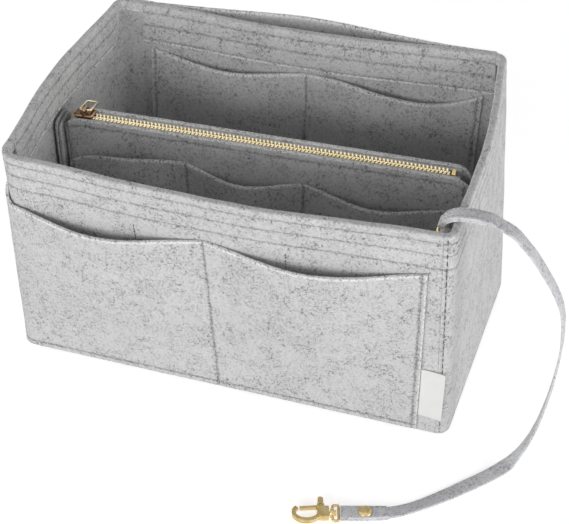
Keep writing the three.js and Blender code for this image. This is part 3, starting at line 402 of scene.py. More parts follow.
def curve_points(route, turns, count):
    """Evenly spaced points on a smooth curve through the route, with the turn and length there."""
    fine = []
    for k in range(len(route) - 1):
        before = Vector(route[max(k - 1, 0)])
        start = Vector(route[k])
        end = Vector(route[k + 1])
        after = Vector(route[min(k + 2, len(route) - 1)])
        for step in range(20):
            t = step / 20
            place = 0.5 * (
                2 * start + (end - before) * t + (2 * before - 5 * start + 4 * end - after) * t * t
                + (3 * start - before - 3 * end + after) * t ** 3
            )
            fine.append((place, turns[k] + (turns[k + 1] - turns[k]) * t))
    fine.append((Vector(route[-1]), turns[-1]))
    reach = [0]
    for k in range(1, len(fine)):
        reach.append(reach[-1] + (fine[k][0] - fine[k - 1][0]).length)
    out = []
    k = 0
    for i in range(count + 1):
        goal = reach[-1] * i / count
        while k < len(reach) - 2 and reach[k + 1] < goal:
            k += 1
        t = (goal - reach[k]) / max(reach[k + 1] - reach[k], 1e-9)
        out.append((fine[k][0].lerp(fine[k + 1][0], t), fine[k][1] + (fine[k + 1][1] - fine[k][1]) * t, goal))
    return out, reach[-1]


def direction_at(line, k):
    """The way that a curve runs at its point k."""
    return (line[min(k + 1, len(line) - 1)][0] - line[max(k - 1, 0)][0]).normalized()


strap_line, strap_length = curve_points(strap_route, [Vector(turn) for turn in strap_turns], 190)
strap_frames = []
for k, (place, turn, reach) in enumerate(strap_line):
    along = direction_at(strap_line, k)
    across = Vector((-math.sin(math.radians(turn[0])), math.cos(math.radians(turn[0])), 0))
    across = (across - along * across.dot(along)).normalized()
    across = Matrix.Rotation(math.radians(-turn[1]), 3, along) @ across
    strap_frames.append((place, along, across, across.cross(along), reach))
strap_rings = []
strap_doubled = strap_felt + strap_layer_gap / 2
for place, along, across, through, reach in strap_frames:
    doubled = reach < strap_ring_fold or reach > strap_length - strap_clasp_fold
    thick = strap_doubled if doubled else strap_felt / 2
    half = strap_width / 2 + 0.18 * noise.noise(place * 0.09)
    notch = 0.5 if doubled else 0.0
    r = strap_edge_round
    side = [
        (-half + r, -thick), (-half / 3, -thick - 0.05), (half / 3, -thick - 0.05), (half - r, -thick),
        (half - 0.2 * r, -thick + 0.35 * r), (half, -thick + r), (half, -0.2), (half - notch, 0), (half, 0.2),
        (half, thick - r), (half - 0.2 * r, thick - 0.35 * r),
    ]
    wave = 0.12 * noise.noise(place * 0.16)
    section = side + [(-a, -b) for a, b in side]
    strap_rings.append([place + across * a + through * (b + wave) for a, b in section])
strap_band = swept_mesh("key_strap_band", strap_rings)
key_strap = add_piece(strap_band.name, strap_band, [strap_cloth], "root", ["key_strap"])
strap_rows = []
for side in (-1, 1):
    for near, far, face in (
        (3, strap_ring_fold - 2, 1), (strap_length - strap_clasp_fold + 2, strap_length - 17.5, 1),
        (3, strap_ring_fold - 2, -1),
    ):
        strap_rows.append([
            place + across * side * (strap_width / 2 - 1.7) + through * face * (strap_doubled + 0.08)
            for place, along, across, through, reach in strap_frames if near <= reach <= far
        ])
for goal in (strap_ring_fold - 2.2, strap_length - strap_clasp_fold + 2.2):
    place, along, across, through, reach = min(strap_frames, key=lambda f: abs(f[4] - goal))
    strap_rows.append([place + across * a + through * (strap_doubled + 0.08) for a in (-3, -1.5, 0, 1.5, 3)])
strap_stitches = sew("key_strap_stitches", strap_rows, "root", pitch=2.8)


# Box walls: four stiff felt panels joined at the corners. The top of each is folded in, so that the rim
# is a round felt fold, and sewn down in three rows that show on both faces.
felt = 2.4
layer_gap = 0.3
box_height = 180
foot_size = (298, 162)
rim_size = (278, 186)
corner_radius = 8
foot_radius = 4
wall_bellies = (6.5, 5, -7, 6.5)
front_swell, back_swell, left_swell = (8.5, 5), (2.5, 9.5), (3.4, -1.5)
front_corner_tuck = 7
hem_depth = 28
hem_end_depth = 6
hem_round = 0.035
hem_rows = (6, 15.5, 26.3)
left_seam_inset = 6
back_seam_inset = 15
seam_gap = 0.02
corner_legs = (1, 3, 5, 7)


def between(low, high, share):
    return low + (high - low) * share


def held(value, low=0.0, high=1.0):
    return min(high, max(low, value))


def half_length(z):
    return between(foot_size[0], rim_size[0], z / box_height) / 2


def half_depth(z):
    return between(foot_size[1], rim_size[1], z / box_height) / 2


def foot_shift(z):
    return 2.5 * (1 - z / box_height)


def skew(z):
    """How far the front stands to the left of the back, as the box was pushed out of square."""
    return between(9, -5, z / box_height)


def wall_spot(leg_share, z, out=0.0):
    """A place on the box's outline. Legs 0, 2, 4 and 6 are the front, right, back and left walls."""
    leg = math.floor(leg_share) % 8
    share = leg_share - math.floor(leg_share)
    along = 2 * share - 1
    run_x = half_length(z) - corner_radius
    run_y = half_depth(z) - corner_radius
    foot_rise = foot_radius - held(z, 0, foot_radius)
    radius = corner_radius + out - foot_radius + math.sqrt(foot_radius ** 2 - foot_rise ** 2)
    swing, rise = radius * math.sin(share * math.pi / 2), radius * math.cos(share * math.pi / 2)
    reach = radius + wall_bellies[leg // 2] * (1 - along ** 2) ** 2 * held(z / box_height) ** 1.5
    x, y = (
        (along * run_x, -run_y - reach), (run_x + swing, -run_y - rise),
        (run_x + reach, along * run_y), (run_x + rise, run_y + swing),
        (-along * run_x, run_y + reach), (-run_x - swing, run_y + rise),
        (-run_x - reach, -along * run_y), (-run_x - rise, -run_y - swing),
    )[leg]
    x += skew(z) * y / (2 * half_depth(z))
    height_share = held(z / box_height) ** 1.5
    front, back = held(-y / half_depth(z)), held(y / half_depth(z))
    backward = held(0.5 + y / (2 * half_depth(z)))
    left, rightward = held(-x / half_length(z)), held(0.5 + x / (2 * half_length(z)))
    tucked_in = front ** 4 * front_corner_tuck * held((left - 0.85) / 0.15) ** 2
    y -= height_share * front * between(*front_swell, rightward)
    y += height_share * (tucked_in + back * between(*back_swell, rightward))
    x -= height_share * left ** 3 * between(*left_swell, backward)
    return Vector((x + foot_shift(z), y, z))


def wall_point(leg_share, z, out=0.0):
    """The same place with the slow waves of soft felt."""
    spot = wall_spot(leg_share, z)
    wave = 0.9 * noise.noise(spot * 0.017 + Vector((3, 7, 1))) + 0.35 * noise.noise(spot * 0.05)
    ring_apart = (spot - Vector((137, -78, 165))).length
    wave *= held(z / 40) * (1 - math.exp(-(ring_apart / 26) ** 2))
    rim_rise = 0.7 * noise.noise(Vector((spot.x, spot.y, 0)) * 0.02) * held((z - 120) / 60)
    return wall_spot(leg_share, z, out + wave) + Vector((0, 0, rim_rise))


def fine_stations(low, high, step, lines):
    """Even stations from low to high, with closer ones across each sewn line."""
    beside = (-1.7, -0.85, 0, 0.85, 1.7)
    close = [line + side for line in lines for side in beside if low < line + side < high]
    count = max(1, round((high - low) / step))
    even = [between(low, high, k / count) for k in range(count + 1)]
    kept = [e for e in even if e in (low, high) or all(abs(e - c) > 0.7 for c in close)]
    return sorted(kept + close)


def groove(distance, depth=0.5, width=0.85):
    """How deep a row of stitches draws the felt in, at a distance from the row."""
    return depth * math.exp(-(distance / width) ** 2)


def leg_length(leg):
    leg = leg % 8
    if leg in corner_legs:
        return corner_radius * math.pi / 2
    return 2 * ((half_length(90), half_depth(90))[leg // 2 % 2] - corner_radius)


def wall_columns(start, end, seams):
    """Leg shares from start to end, closer together at the upright seams."""
    columns = []
    leg = math.floor(start + 1e-6)
    while leg < end - 1e-6:
        length = leg_length(leg)
        low, high = max(start, leg), min(end, leg + 1)
        lines = [(seam - leg) * length for seam in seams]
        step = 1.8 if leg % 8 in corner_legs else 2.8
        made = fine_stations((low - leg) * length, (high - leg) * length, step, lines)
        columns += [leg + m / length for m in made]
        leg += 1
    columns.sort()
    return [c for k, c in enumerate(columns) if k == 0 or c - columns[k - 1] > 1e-4]


def hem_section(hem, shrink):
    """The wall's section as (out, height, groove) from the foot up, over the fold, and down inside."""
    fold = felt + layer_gap / 2
    top = box_height - fold
    heights = [0, 0.35, 1.4, 2.6] + fine_stations(foot_radius, top, 3, [box_height - row for row in hem_rows])
    full = held((hem - hem_end_depth) / (hem_depth - hem_end_depth))
    section = [(-shrink, z, -sum(groove(z - box_height + row) for row in hem_rows)) for z in heights]
    for k in range(1, 14):
        turn = k / 14 * math.pi
        squared = (math.copysign(abs(math.cos(turn)) ** 0.62, math.cos(turn)), math.sin(turn) ** 0.62)
        section.append((-fold + (fold - shrink) * squared[0], top + (fold - shrink) * squared[1], 0))
    for down in fine_stations(fold, hem_depth, 3, hem_rows):
        drawn = full * sum(groove(down - row) for row in hem_rows)
        deep = between(fold, hem, (down - fold) / (hem_depth - fold))
        section.append((-2 * fold + shrink, box_height - deep, drawn))
    foot = box_height - hem
    section += [(-4.8, foot - 0.35, 0), (-3.9, foot - 0.5, 0), (-3.1, foot - 0.3, 0), (-2.75, foot + 0.2, 0)]
    section += [(-2.72, foot + 1.2, 0), (-2.5, foot + 1.2, 0)]
    inside = fine_stations(0, 1, 1 / 44, [])
    section += [(-felt + shrink, max(0.02, z * foot), 0) for z in reversed(inside)]
    return section


def hemmed_wall(name, start, end, hem_at, seams, node):
    """A wall panel between two leg shares."""
    columns = wall_columns(start, end, seams)
    tucks = ((0, 0.3), (0.25, 0.08), (0.6, 0))
    lengths = [leg_length(math.floor(start)), leg_length(math.floor(end - 1e-6))]
    first = [(start + away / lengths[0], shrink) for away, shrink in tucks]
    last = [(end - away / lengths[1], shrink) for away, shrink in reversed(tucks)]
    middle = [(c, 0) for c in columns if first[-1][0] + 1e-3 < c < last[0][0] - 1e-3]
    rings = []
    sewn, cut = [], []
    for column, shrink in first + middle + last:
        ring = []
        hem_foot = box_height - hem_at(column)
        for out, z, drawn in hem_section(hem_at(column), shrink):
            for seam in seams:
                if abs(out) < 0.1:
                    drawn -= groove((column - seam) * leg_length(math.floor(column)), 0.25)
            ring.append(wall_point(column, z, out + drawn))
            # Groove depth along the stitch rows and the corner seam, for the felt's painted shade there.
            sewn.append(abs(drawn) * 1.1)
            # The hem's cut foot, for the felt's painted highlight.
            cut.append(1.0 if -2 * felt - 1 < out < -felt - 0.2 and z < hem_foot + 1.2 else 0.0)
        rings.append(ring)
    mesh = swept_mesh(name, rings)
    painted_points(mesh, "sewn", sewn)
    painted_points(mesh, "cut", cut)
    wall = add_piece(name, mesh, [grey_felt], "root", [node])
    legs = range(math.floor(start), math.ceil(end))
    run = sum(leg_length(k) * (min(end, k + 1) - max(start, k)) for k in legs)
    run * mm
    return wall


def row_along_wall(start, end, z, out):
    """Points of a level row of stitches round the box's outline."""
    return [wall_point(c, z, out) for c in wall_columns(start, end, [])]


def ramp(value, low, high):
    """A hem's rounded end, from 0 at low to 1 at high."""
    share = held((value - low) / (high - low))
    return math.sqrt(1 - (1 - share) ** 2)


def hem_between(low, high):
    """The fold's depth along a wall whose hem runs from one leg share to another."""
    def depth(column):
        full = ramp(column, low, low + hem_round) * ramp(-column, -high, hem_round - high)
        return between(hem_end_depth, hem_depth, full)
    return depth


left_seam = 7 - left_seam_inset / foot_size[1]
back_seam = 5 - back_seam_inset / foot_size[0]
corner_gap = seam_gap / (corner_radius * math.pi / 2)
long_gap = seam_gap / foot_size[0]


def front_share(x, z):
    run = half_length(z) - corner_radius
    return (x - foot_shift(z) + skew(z) / 2 + run) / (2 * run)


def back_share(x, z):
    run = half_length(z) - corner_radius
    return 4 + (run - (x - foot_shift(z) - skew(z) / 2)) / (2 * run)


corner_seam = 1.22
hemmed_wall("front_wall", left_seam + corner_gap, 9 - long_gap, hem_between(8.012, 12), [], "front_panel")
hemmed_wall("right_wall", 1 + corner_gap, 4 - corner_gap, hem_between(2.012, 2.988), [corner_seam],
            "right_side_panel")
hemmed_wall("back_wall", 4 + long_gap, back_seam - long_gap, hem_between(0, 12), [], "back_panel")
hemmed_wall("left_wall", back_seam + long_gap, left_seam - corner_gap,
            hem_between(6.012, left_seam - 0.01), [], "left_side_panel")

hem_lines = []
thread_sink = 0.36
for start, end in ((left_seam + 0.02, 9 - 0.01), (1.1, 3.9), (4.01, back_seam - 0.01),
                   (back_seam + 0.01, left_seam - 0.02)):
    for row in hem_rows:
        hem_lines.append(row_along_wall(start, end, box_height - row, -thread_sink))
for start, end in ((8.06, 8.985), (2.06, 2.94), (4.01, back_seam - 0.01), (6.06, left_seam - 0.06)):
    for row in hem_rows:
        hem_lines.append(row_along_wall(start, end, box_height - row, -2 * felt - layer_gap + thread_sink))
sew("hem_stitches", hem_lines, "root", pitch=3.4, thread=0.28)
dark_thread = thread_material("dark_thread", 0.8, 0.1, (0.05, 0.05, 0.05), (0.14, 0.14, 0.14))
seam_heights = [between(12, box_height - 4, k / 60) for k in range(61)]
sew("corner_seam_stitches", [[wall_point(corner_seam, z, -0.15) for z in seam_heights]], "root",
    pitch=5.6, thread=0.36, yarn=dark_thread)


# Floor of the box: one flat piece of the same felt, cut to the inside of the walls' foot and laid there.
# Its cut edge is a little rounded, and only a hair's gap is left round it.
floor_clearance = 0.03
floor_outline = []
for leg in range(8):
    steps = 12 if leg in corner_legs else 30
    for step in range(steps):
        spot = wall_spot(leg + step / steps, 0, -felt - floor_clearance)
        floor_outline.append((spot.x, spot.y))
floor_points = []
floor_shares = (1, 0.998, 0.98, 0.9, 0.75, 0.6, 0.45, 0.3, 0.15)
for top in (0, 1):
    for share in floor_shares:
        for x, y in floor_outline:
            drop = 0.45 if share == 1 else 0.0
            level = felt - drop + (0.25 * noise.noise(Vector((x, y, 0)) * share * 0.02)) if top else drop
            floor_points.append((x * share, y * share, max(0.01, level)))


def flat_faces(count, layers):
    """Faces of a flat piece, each of whose two sides is a stack of outlines that shrink to its middle."""
    faces = []
    for side in (0, 1):
        for k in range(layers - 1):
            for i in range(count):
                j, a = (i + 1) % count, (side * layers + k) * count
                faces.append((a + i, a + j, a + count + j, a + count + i))
        a = (side * layers + layers - 1) * count
        faces.append(tuple(a + i for i in range(count)))
    for i in range(count):
        j = (i + 1) % count
        faces.append((i, j, layers * count + j, layers * count + i))
    return faces


floor_shape = closed_mesh("box_floor", floor_points, flat_faces(len(floor_outline), len(floor_shares)))
box_floor = add_piece("box_floor", floor_shape, [grey_felt], "root", ["bottom_panel"])


# Pockets on the box walls: strips of felt sewn down along their foot and at upright lines, so that each
# pocket between them stands a little open. Their cut edges are left raw.
def felt_sheet(name, columns, rows, place, drawn, thickness=felt):
    """A sheet with two faces. place(column, row, depth) gives a point, drawn(column, row) its grooves."""
    across, up = len(columns), len(rows)
    points = []
    for outer in (0, 1):
        for c in columns:
            for r in rows:
                depth = thickness - drawn(c, r) if outer else 0.0
                points.append(place(c, r, depth))
    faces = []
    for i in range(across - 1):
        for j in range(up - 1):
            a, b = i * up + j, (i + 1) * up + j
            faces.append((a, a + 1, b + 1, b))
            faces.append(tuple(across * up + k for k in (a, b, b + 1, a + 1)))
    border = [i * up for i in range(across)] + [(across - 1) * up + j for j in range(1, up)]
    border += [i * up + up - 1 for i in range(across - 2, -1, -1)] + list(range(up - 2, 0, -1))
    for a, b in zip(border, border[1:] + border[:1]):
        faces.append((a, b, across * up + b, across * up + a))
    mesh = closed_mesh(name, points, faces)
    # Groove depth along the sewn lines, for the felt's painted shade there.
    sewn = [drawn(c, r) * 1.8 for c in columns for r in rows]
    painted_points(mesh, "sewn", [0] * len(sewn) + sewn)
    # The sheet's cut border, for the felt's painted highlight.
    cut = [0.0] * (2 * across * up)
    for point in border:
        cut[point] = cut[point + across * up] = 1.0
    painted_points(mesh, "cut", cut)
    return mesh


class Pocket:
    """One strip of pockets: its sewn lines, foot, tops, dips, the dips' skews and how far it stands open."""

    def __init__(self, edges, foot, tops, dips, skews, stand):
        self.edges, self.foot, self.tops, self.stand = edges, foot, tops, stand
        self.dips, self.skews = dips, skews

    def share(self, x):
        for k in range(len(self.edges) - 1):
            if x <= self.edges[k + 1]:
                return k, held((x - self.edges[k]) / (self.edges[k + 1] - self.edges[k]))
        return len(self.edges) - 2, 1.0

    def top(self, x):
        k, share = self.share(x)
        ragged = 0.22 * noise.noise(Vector((x * 0.3, self.foot, 0)))
        dip = self.dips[k] * math.sin(math.pi * share ** self.skews[k])
        return between(self.tops[k], self.tops[k + 1], share) - dip + ragged

    def height(self, x, row):
        """A row is its height over the foot up to 10, and the share of the rest past that."""
        if row <= 10:
            return self.foot + row
        return between(self.foot + 10, self.top(x), row - 10)

    def off(self, x, row):
        """How far the pocket stands open at a place."""
        share = self.share(x)[1]
        z = self.height(x, row)
        rise = held((z - self.foot) / (self.top(x) - self.foot))
        return self.stand * math.sin(math.pi * share) ** 2 * math.sin(rise * math.pi / 2) ** 2


foot_rows = [0, 0.9, 2.8, 3.65, 4.5, 5.35, 6.2, 8, 10]
pocket_rows = foot_rows + [10 + k / 40 for k in range(1, 41)]
foot_row = 4.5


def pocket_piece(name, pocket, lines, place, body, node):
    """Makes the pocket and its stitches. lines are its upright sewn lines."""
    columns = fine_stations(pocket.edges[0], pocket.edges[-1], 2.8, lines)

    def drawn(x, row):
        z = pocket.height(x, row)
        return min(0.6, sum(groove(x - line) for line in lines) + groove(z - pocket.foot - foot_row))

    sheet = felt_sheet(name, columns, pocket_rows, place, drawn)
    made = add_piece(name, sheet, [grey_felt], body, [node])
    soften_edges(made, 0.35)
    sunk = felt - thread_sink
    rows = [[place(x, foot_row, sunk) for x in columns if lines[0] - 0.01 <= x <= lines[-1] + 0.01]]
    for line in lines:
        rows.append([place(line, row, sunk) for row in pocket_rows if row >= foot_row and row < 10.99])
    sew(name + "_stitches", rows, body)
    return made


front_pocket = Pocket([-146, -8.5, 126.5], 5, [149, 145.5, 149.5], [12.5, 8], [0.72, 1], 8)
front_bend = -124


def front_pocket_place(x, row, depth):
    z = front_pocket.height(x, row)
    bent = held((front_bend - x) / (front_bend - front_pocket.edges[0]))
    share = between(front_share(max(x, front_bend), z), -1.02, bent)
    return wall_point(share, z, layer_gap + depth + front_pocket.off(x, row))


pocket_piece("front_pockets", front_pocket, [-143, -8.5, 123.4], front_pocket_place, "root",
             "front_outer_pocket")

front_inner = Pocket([-129, -57, 39, 129], 12, [136, 136, 136, 136], [9, 9, 9], [1, 1, 1], 7)


def front_inner_place(x, row, depth):
    z = front_inner.height(x, row)
    return wall_point(front_share(x, z), z, -felt - layer_gap - depth - front_inner.off(x, row))


pocket_piece("front_inner_pockets", front_inner, [-126, -57, 39, 126], front_inner_place, "root",
             "front_inner_pocket")
sew("front_inner_marks", [
    [wall_point(front_share(x, z), z, 0.1) for z in (145.5, 142, 138, 134, 130, 126)] for x in (-53, 42)
], "root", pitch=2.6, thread=0.36, yarn=dark_thread)

back_inner = Pocket([-114, 2, 123.5], 8, [147, 148.5, 149.5], [4.4, 8.2], [0.85, 2.2], 7.5)


def back_inner_place(x, row, depth):
    z = back_inner.height(x, row)
    return wall_point(back_share(x, z), z, -felt - layer_gap - depth - back_inner.off(x, row))


pocket_piece("back_inner_pockets", back_inner, [-111, 2, 120.5], back_inner_place, "root",
             "back_inner_pocket")


# Rear slip pocket: a second sheet over the whole back, sewn along its foot and its ends and open at the
# rim, where it bellies away from the wall.
slip_foot, slip_top, slip_belly = 5, 179, 15.5
slip_reach = foot_size[0] / 2 - corner_radius
slip_rows = foot_rows + [10 + k / 50 for k in range(1, 51)]
slip_lines = [3.5 - slip_reach, slip_reach - 3.5]
slip_columns = fine_stations(-slip_reach, slip_reach, 2.8, slip_lines)


def slip_height(row):
    return slip_foot + row if row <= 10 else between(slip_foot + 10, slip_top, row - 10)


def slip_place(along, row, depth):
    z = slip_height(row) + 0.25 * noise.noise(Vector((along * 0.2, 4, row))) * held(row - 10)
    opened = held(1 - abs(along) / (slip_reach - 14))
    rise = (slip_height(row) - slip_foot) / (slip_top - slip_foot)
    stand = layer_gap + depth + slip_belly * math.sin(opened * math.pi / 2) ** 2 * rise ** 1.5
    return wall_point(4.5 - along / slip_reach * (0.5 - long_gap), z, stand)


def slip_drawn(along, row):
    sides = sum(groove(along - line) for line in slip_lines)
    return min(0.6, sides + groove(slip_height(row) - slip_foot - foot_row))


slip_sheet = felt_sheet("rear_slip_pocket_sheet", slip_columns, slip_rows, slip_place, slip_drawn)
slip_pocket = add_piece(slip_sheet.name, slip_sheet, [grey_felt], "root", ["rear_slip_pocket"])
soften_edges(slip_pocket, 0.55)
slip_rows_sewn = [[slip_place(x, foot_row, felt - thread_sink) for x in slip_columns
                   if slip_lines[0] <= x <= slip_lines[1]]]
slip_rows_sewn += [[slip_place(line, row, felt - thread_sink) for row in slip_rows if foot_row <= row < 10.98]
                   for line in slip_lines]
sew("rear_slip_pocket_stitches", slip_rows_sewn, "root")


# Blank label: a folded tab of white woven cloth, sewn in beside the front pocket's edge. Nothing is
# printed on it, and its free edge curls away from the felt a little.
label_width, label_thickness = 15.5, 0.6
label_low, label_high = 18.5, 63
label_cloth, label_nodes, label_shader = new_material("white_label_cloth", {
    "Roughness": 0.7, "Sheen Weight": 0.15, "Specular IOR Level": 0.3,
})
label_place = label_nodes.node("ShaderNodeTexCoord", output=3)
label_weft, label_warp = (
    label_nodes.node("ShaderNodeTexWave", {"bands_direction": way}, {
        "Vector": label_place, "Scale": 700.0, "Distortion": 0.4,
    }) for way in ("Z", "X")
)
label_soil = label_nodes.node("ShaderNodeTexNoise", None, {
    "Vector": label_place, "Scale": 120.0, "Detail": 3.0,
})
label_weave = label_weft * label_warp
label_shade = label_weave * 0.5 + label_soil.between(0.3, 0.7) * 0.3
label_shade.mix((0.88, 0.88, 0.87), (0.8, 0.8, 0.79)).feeds(label_shader, "Base Color")
label_bump = label_nodes.node("ShaderNodeBump", None, {
    "Height": label_weave, "Strength": 0.3, "Distance": 0.0002,
})
label_bump.feeds(label_shader, "Normal")


def label_spot(across, up, depth):
    left = front_pocket.edges[-1] + layer_gap
    z = between(label_low, label_high, up)
    spot = wall_point(front_share(left, z), z, layer_gap + depth)
    curl = 1.3 * (across / label_width) ** 2 + 0.35 * math.sin(up * 5 + 1) * across / label_width
    return spot + Vector((across, -curl, 0))


label_columns = [0, 0.5] + [1.1 * k for k in range(1, 14)] + [15, label_width]
label_rows = [0, 0.012, 0.03] + [k / 24 for k in range(1, 24)] + [0.97, 0.988, 1]
label_sheet = felt_sheet("blank_label", label_columns, label_rows, label_spot, lambda across, up: 0,
                         label_thickness)
side_label = add_piece(label_sheet.name, label_sheet, [label_cloth], "root", ["side_label"])
soften_edges(side_label, 0.15)


# Lift-out pouch: two felt panels, the front one with three pockets, sewn together round their ends and
# foot. It stands across the middle of the box, turned a little, and opens along its top by the zip.
pouch_angle = math.radians(2.2)
pouch_turn = Matrix.Rotation(pouch_angle, 3, "Z")
pouch_place = Vector((-1.8, -2, 0))
pouch_half_length = 135.401
pouch_top, pouch_foot = 151, 8
pouch_fullness = 8
pouch_rows = [0, 0.9, 2.0, 2.85, 3.7, 4.55, 5.4, 7.5, 10] + [10 + k / 40 for k in range(1, 37)]
pouch_rows += [10.925, 10.945, 10.958, 10.9645, 10.971, 10.9775, 10.984, 10.992, 11]


def from_pouch(x, y, z):
    return pouch_turn @ Vector((x, y, z)) + pouch_place


def pouch_half_width(x, z):
    seam = felt + layer_gap / 2
    end = 1 - held((pouch_half_length - abs(x)) / 5)
    foot = 1 - held((z - pouch_foot) / 34)
    return seam + (pouch_fullness - seam) * math.sqrt(1 - end ** 2) * math.sqrt(1 - foot ** 2)


def pouch_height(x, row):
    past = max(0, abs(x) - (pouch_half_length - 12))
    ragged = 0.15 * noise.noise(Vector((x * 0.25, 9, 0)))
    top = pouch_top - 12 + math.sqrt(max(0, 144 - past ** 2)) + ragged
    return pouch_foot + row if row <= 10 else between(pouch_foot + 10, top, row - 10)


def pouch_wave(x, z):
    return 0.7 * noise.noise(Vector((x * 0.02, z * 0.03, 5))) * held((150 - z) / 30)


pouch_seams = [-pouch_half_length + 3.4, pouch_half_length - 3.4]
pouch_ends = [side * (pouch_half_length - step) for step in (0.1, 0.35, 0.8) for side in (-1, 1)]
pouch_columns = fine_stations(-pouch_half_length, pouch_half_length, 2.6, pouch_seams)
pouch_columns = sorted(set(pouch_columns + pouch_ends))
pouch_top_row = 4.6


def pouch_drawn(x, row):
    z = pouch_height(x, row)
    top_gap = pouch_height(x, 11) - z
    return min(0.6, sum(groove(x - s) for s in pouch_seams) + groove(row - 3.7 if row <= 10 else 9)
               + groove(top_gap - pouch_top_row, 0.4))


pouch_sheets = ((-1, "pouch_front_sheet", "pouch_front_panel"), (1, "pouch_rear_sheet", "pouch_rear_panel"))
for side, name, node in pouch_sheets:
    def pouch_spot(x, row, depth, side=side):
        z = pouch_height(x, row)
        return from_pouch(x, side * (pouch_half_width(x, z) - felt + depth) + pouch_wave(x, z), z)
    panel = add_piece(name, felt_sheet(name, pouch_columns, pouch_rows, pouch_spot, pouch_drawn), [grey_felt],
                      "pouch", [node])
    soften_edges(panel, 0.5)
    sunk = felt - thread_sink
    lines = [[pouch_spot(s, r, sunk) for r in pouch_rows if 3.6 <= r < 10.96] for s in pouch_seams]
    lines.append([pouch_spot(x, 3.7, sunk) for x in pouch_columns if abs(x) <= pouch_seams[1]])
    top_line = []
    for x in pouch_columns:
        if abs(x) <= pouch_seams[1]:
            rise = pouch_height(x, 11) - pouch_foot - 10
            top_line.append(pouch_spot(x, 10 + (rise - pouch_top_row) / rise, felt - 0.25))
    lines.append(top_line)
    sew(name + "_stitches", lines, "pouch", pitch=3.0, thread=0.27, seed=5)

pouch_pocket = Pocket(
    [-132.401, -49.8, 29.2, 125.201], 16, [117, 131, 129, 127], [-8, 5.5, 5.5], [0.75, 0.8, 1], 7,
)


def pouch_pocket_place(x, row, depth):
    z = pouch_pocket.height(x, row)
    stand = pouch_half_width(x, z) + layer_gap + depth + pouch_pocket.off(x, row)
    return from_pouch(x, pouch_wave(x, z) - stand, z)


pocket_piece("pouch_front_pockets", pouch_pocket, [-129.4, -49.8, 29.2, 122.2], pouch_pocket_place, "pouch",
             "pouch_front_pocket")


# Hook and loop tabs: a rounded felt tab on each end of the pouch presses on one sewn to each side wall,
# so that the pouch lifts out. Each is stitched round its edge.
tab_seam = 2.5
tab_low, tab_high = 98, 146


def tab_piece(name, body, node, side, low, high, middle, thickness):
    """A rounded tab standing across the pouch's end, in the pouch's coordinates."""
    half, corner = 10, 5
    outline = []
    for cx, cz, start in ((half - corner, high - corner, 0), (-half + corner, high - corner, 90),
                          (-half + corner, low + corner, 180), (half - corner, low + corner, 270)):
        for step in range(9):
            turn = math.radians(start + step / 8 * 90)
            outline.append((cx + corner * math.cos(turn), cz + corner * math.sin(turn)))
    dense = []
    for (a, b), (c, d) in zip(outline, outline[1:] + outline[:1]):
        count = max(1, round(math.hypot(c - a, d - b) / 2.6))
        dense += [(between(a, c, k / count), between(b, d, k / count)) for k in range(count)]
    middle_height = (low + high) / 2
    insets = (0, 0.25, 0.6, 1.3, 1.9, 2.5, 3.2, 4.4, 6, 7.6)
    half_high = (high - low) / 2
    points = []
    for face in (1, -1):
        for inset in insets:
            drop = {0: 0.5, 0.25: 0.16, 0.6: 0.03}.get(inset, groove(inset - tab_seam, 0.3))
            for y, z in dense:
                sy, sz = 1 - inset / half, 1 - inset / half_high
                x = side * middle + face * (thickness / 2 - drop)
                points.append(from_pouch(x, y * sy, middle_height + (z - middle_height) * sz))
    mesh = closed_mesh(name, points, flat_faces(len(dense), len(insets)))
    tab = add_piece(name, mesh, [grey_felt], body, [node])
    sy, sz = 1 - tab_seam / half, 1 - tab_seam / half_high
    x = side * middle - side * (thickness / 2 - 0.2)
    loop = [from_pouch(x, y * sy, middle_height + (z - middle_height) * sz) for y, z in dense + dense[:1]]
    sew(name + "_stitches", [loop], body, pitch=2.8, thread=0.26)
    return tab


wall_tab_felt = 1.8
for label, side, wall_tab_top in (("left", -1, 148), ("right", 1, 157)):
    reach = pouch_half_length + layer_gap + felt / 2
    tab_piece(f"pouch_end_tab_{label}", "pouch", f"pouch_tab_{label}", side, tab_low, tab_high, reach, felt)
    tab_piece(f"side_wall_tab_{label}", "root", f"wall_tab_{label}", side, tab_low, wall_tab_top,
              reach + felt / 2 + layer_gap + wall_tab_felt / 2, wall_tab_felt)


# Zip: woven tapes sewn inside the pouch's top edges, each with a row of metal teeth clamped on its cord.
# The rows lock between each other. Stops close both ends.
tape_cloth, tape_nodes, tape_shader = new_material("zip_tape_cloth", {"Roughness": 0.85, "Sheen Weight": 0.2})
tape_place = tape_nodes.node("ShaderNodeTexCoord", output=3)
tape_weave = tape_nodes.node("ShaderNodeTexWave", {"bands_direction": "DIAGONAL"}, {
    "Vector": tape_place, "Scale": 520.0, "Distortion": 0.6,
})
tape_fleck = tape_nodes.node("ShaderNodeTexNoise", None, {
    "Vector": tape_place, "Scale": 300.0, "Detail": 3.0,
})
tape_shade = tape_weave * 0.6 + tape_fleck * 0.3
tape_shade.mix((0.7, 0.69, 0.71), (0.88, 0.87, 0.89)).feeds(tape_shader, "Base Color")
tape_bump = tape_nodes.node("ShaderNodeBump", None, {
    "Height": tape_weave, "Strength": 0.4, "Distance": 0.0002,
})
tape_bump.feeds(tape_shader, "Normal")
chain_z = 149.2
tape_section = [
    (3.15, 0.3), (3.25, 0.42), (4.0, 0.42), (4.9, 0.4), (5.25, 0.2), (5.3, -0.3), (5.3, -4), (5.3, -8),
    (5.3, -10.4), (5.1, -10.6), (4.7, -10.6), (4.5, -10.4), (4.5, -8), (4.5, -4), (4.5, -0.6),
    (4.3, -0.42), (3.6, -0.4), (3.2, -0.38), (3.1, -0.2),
]
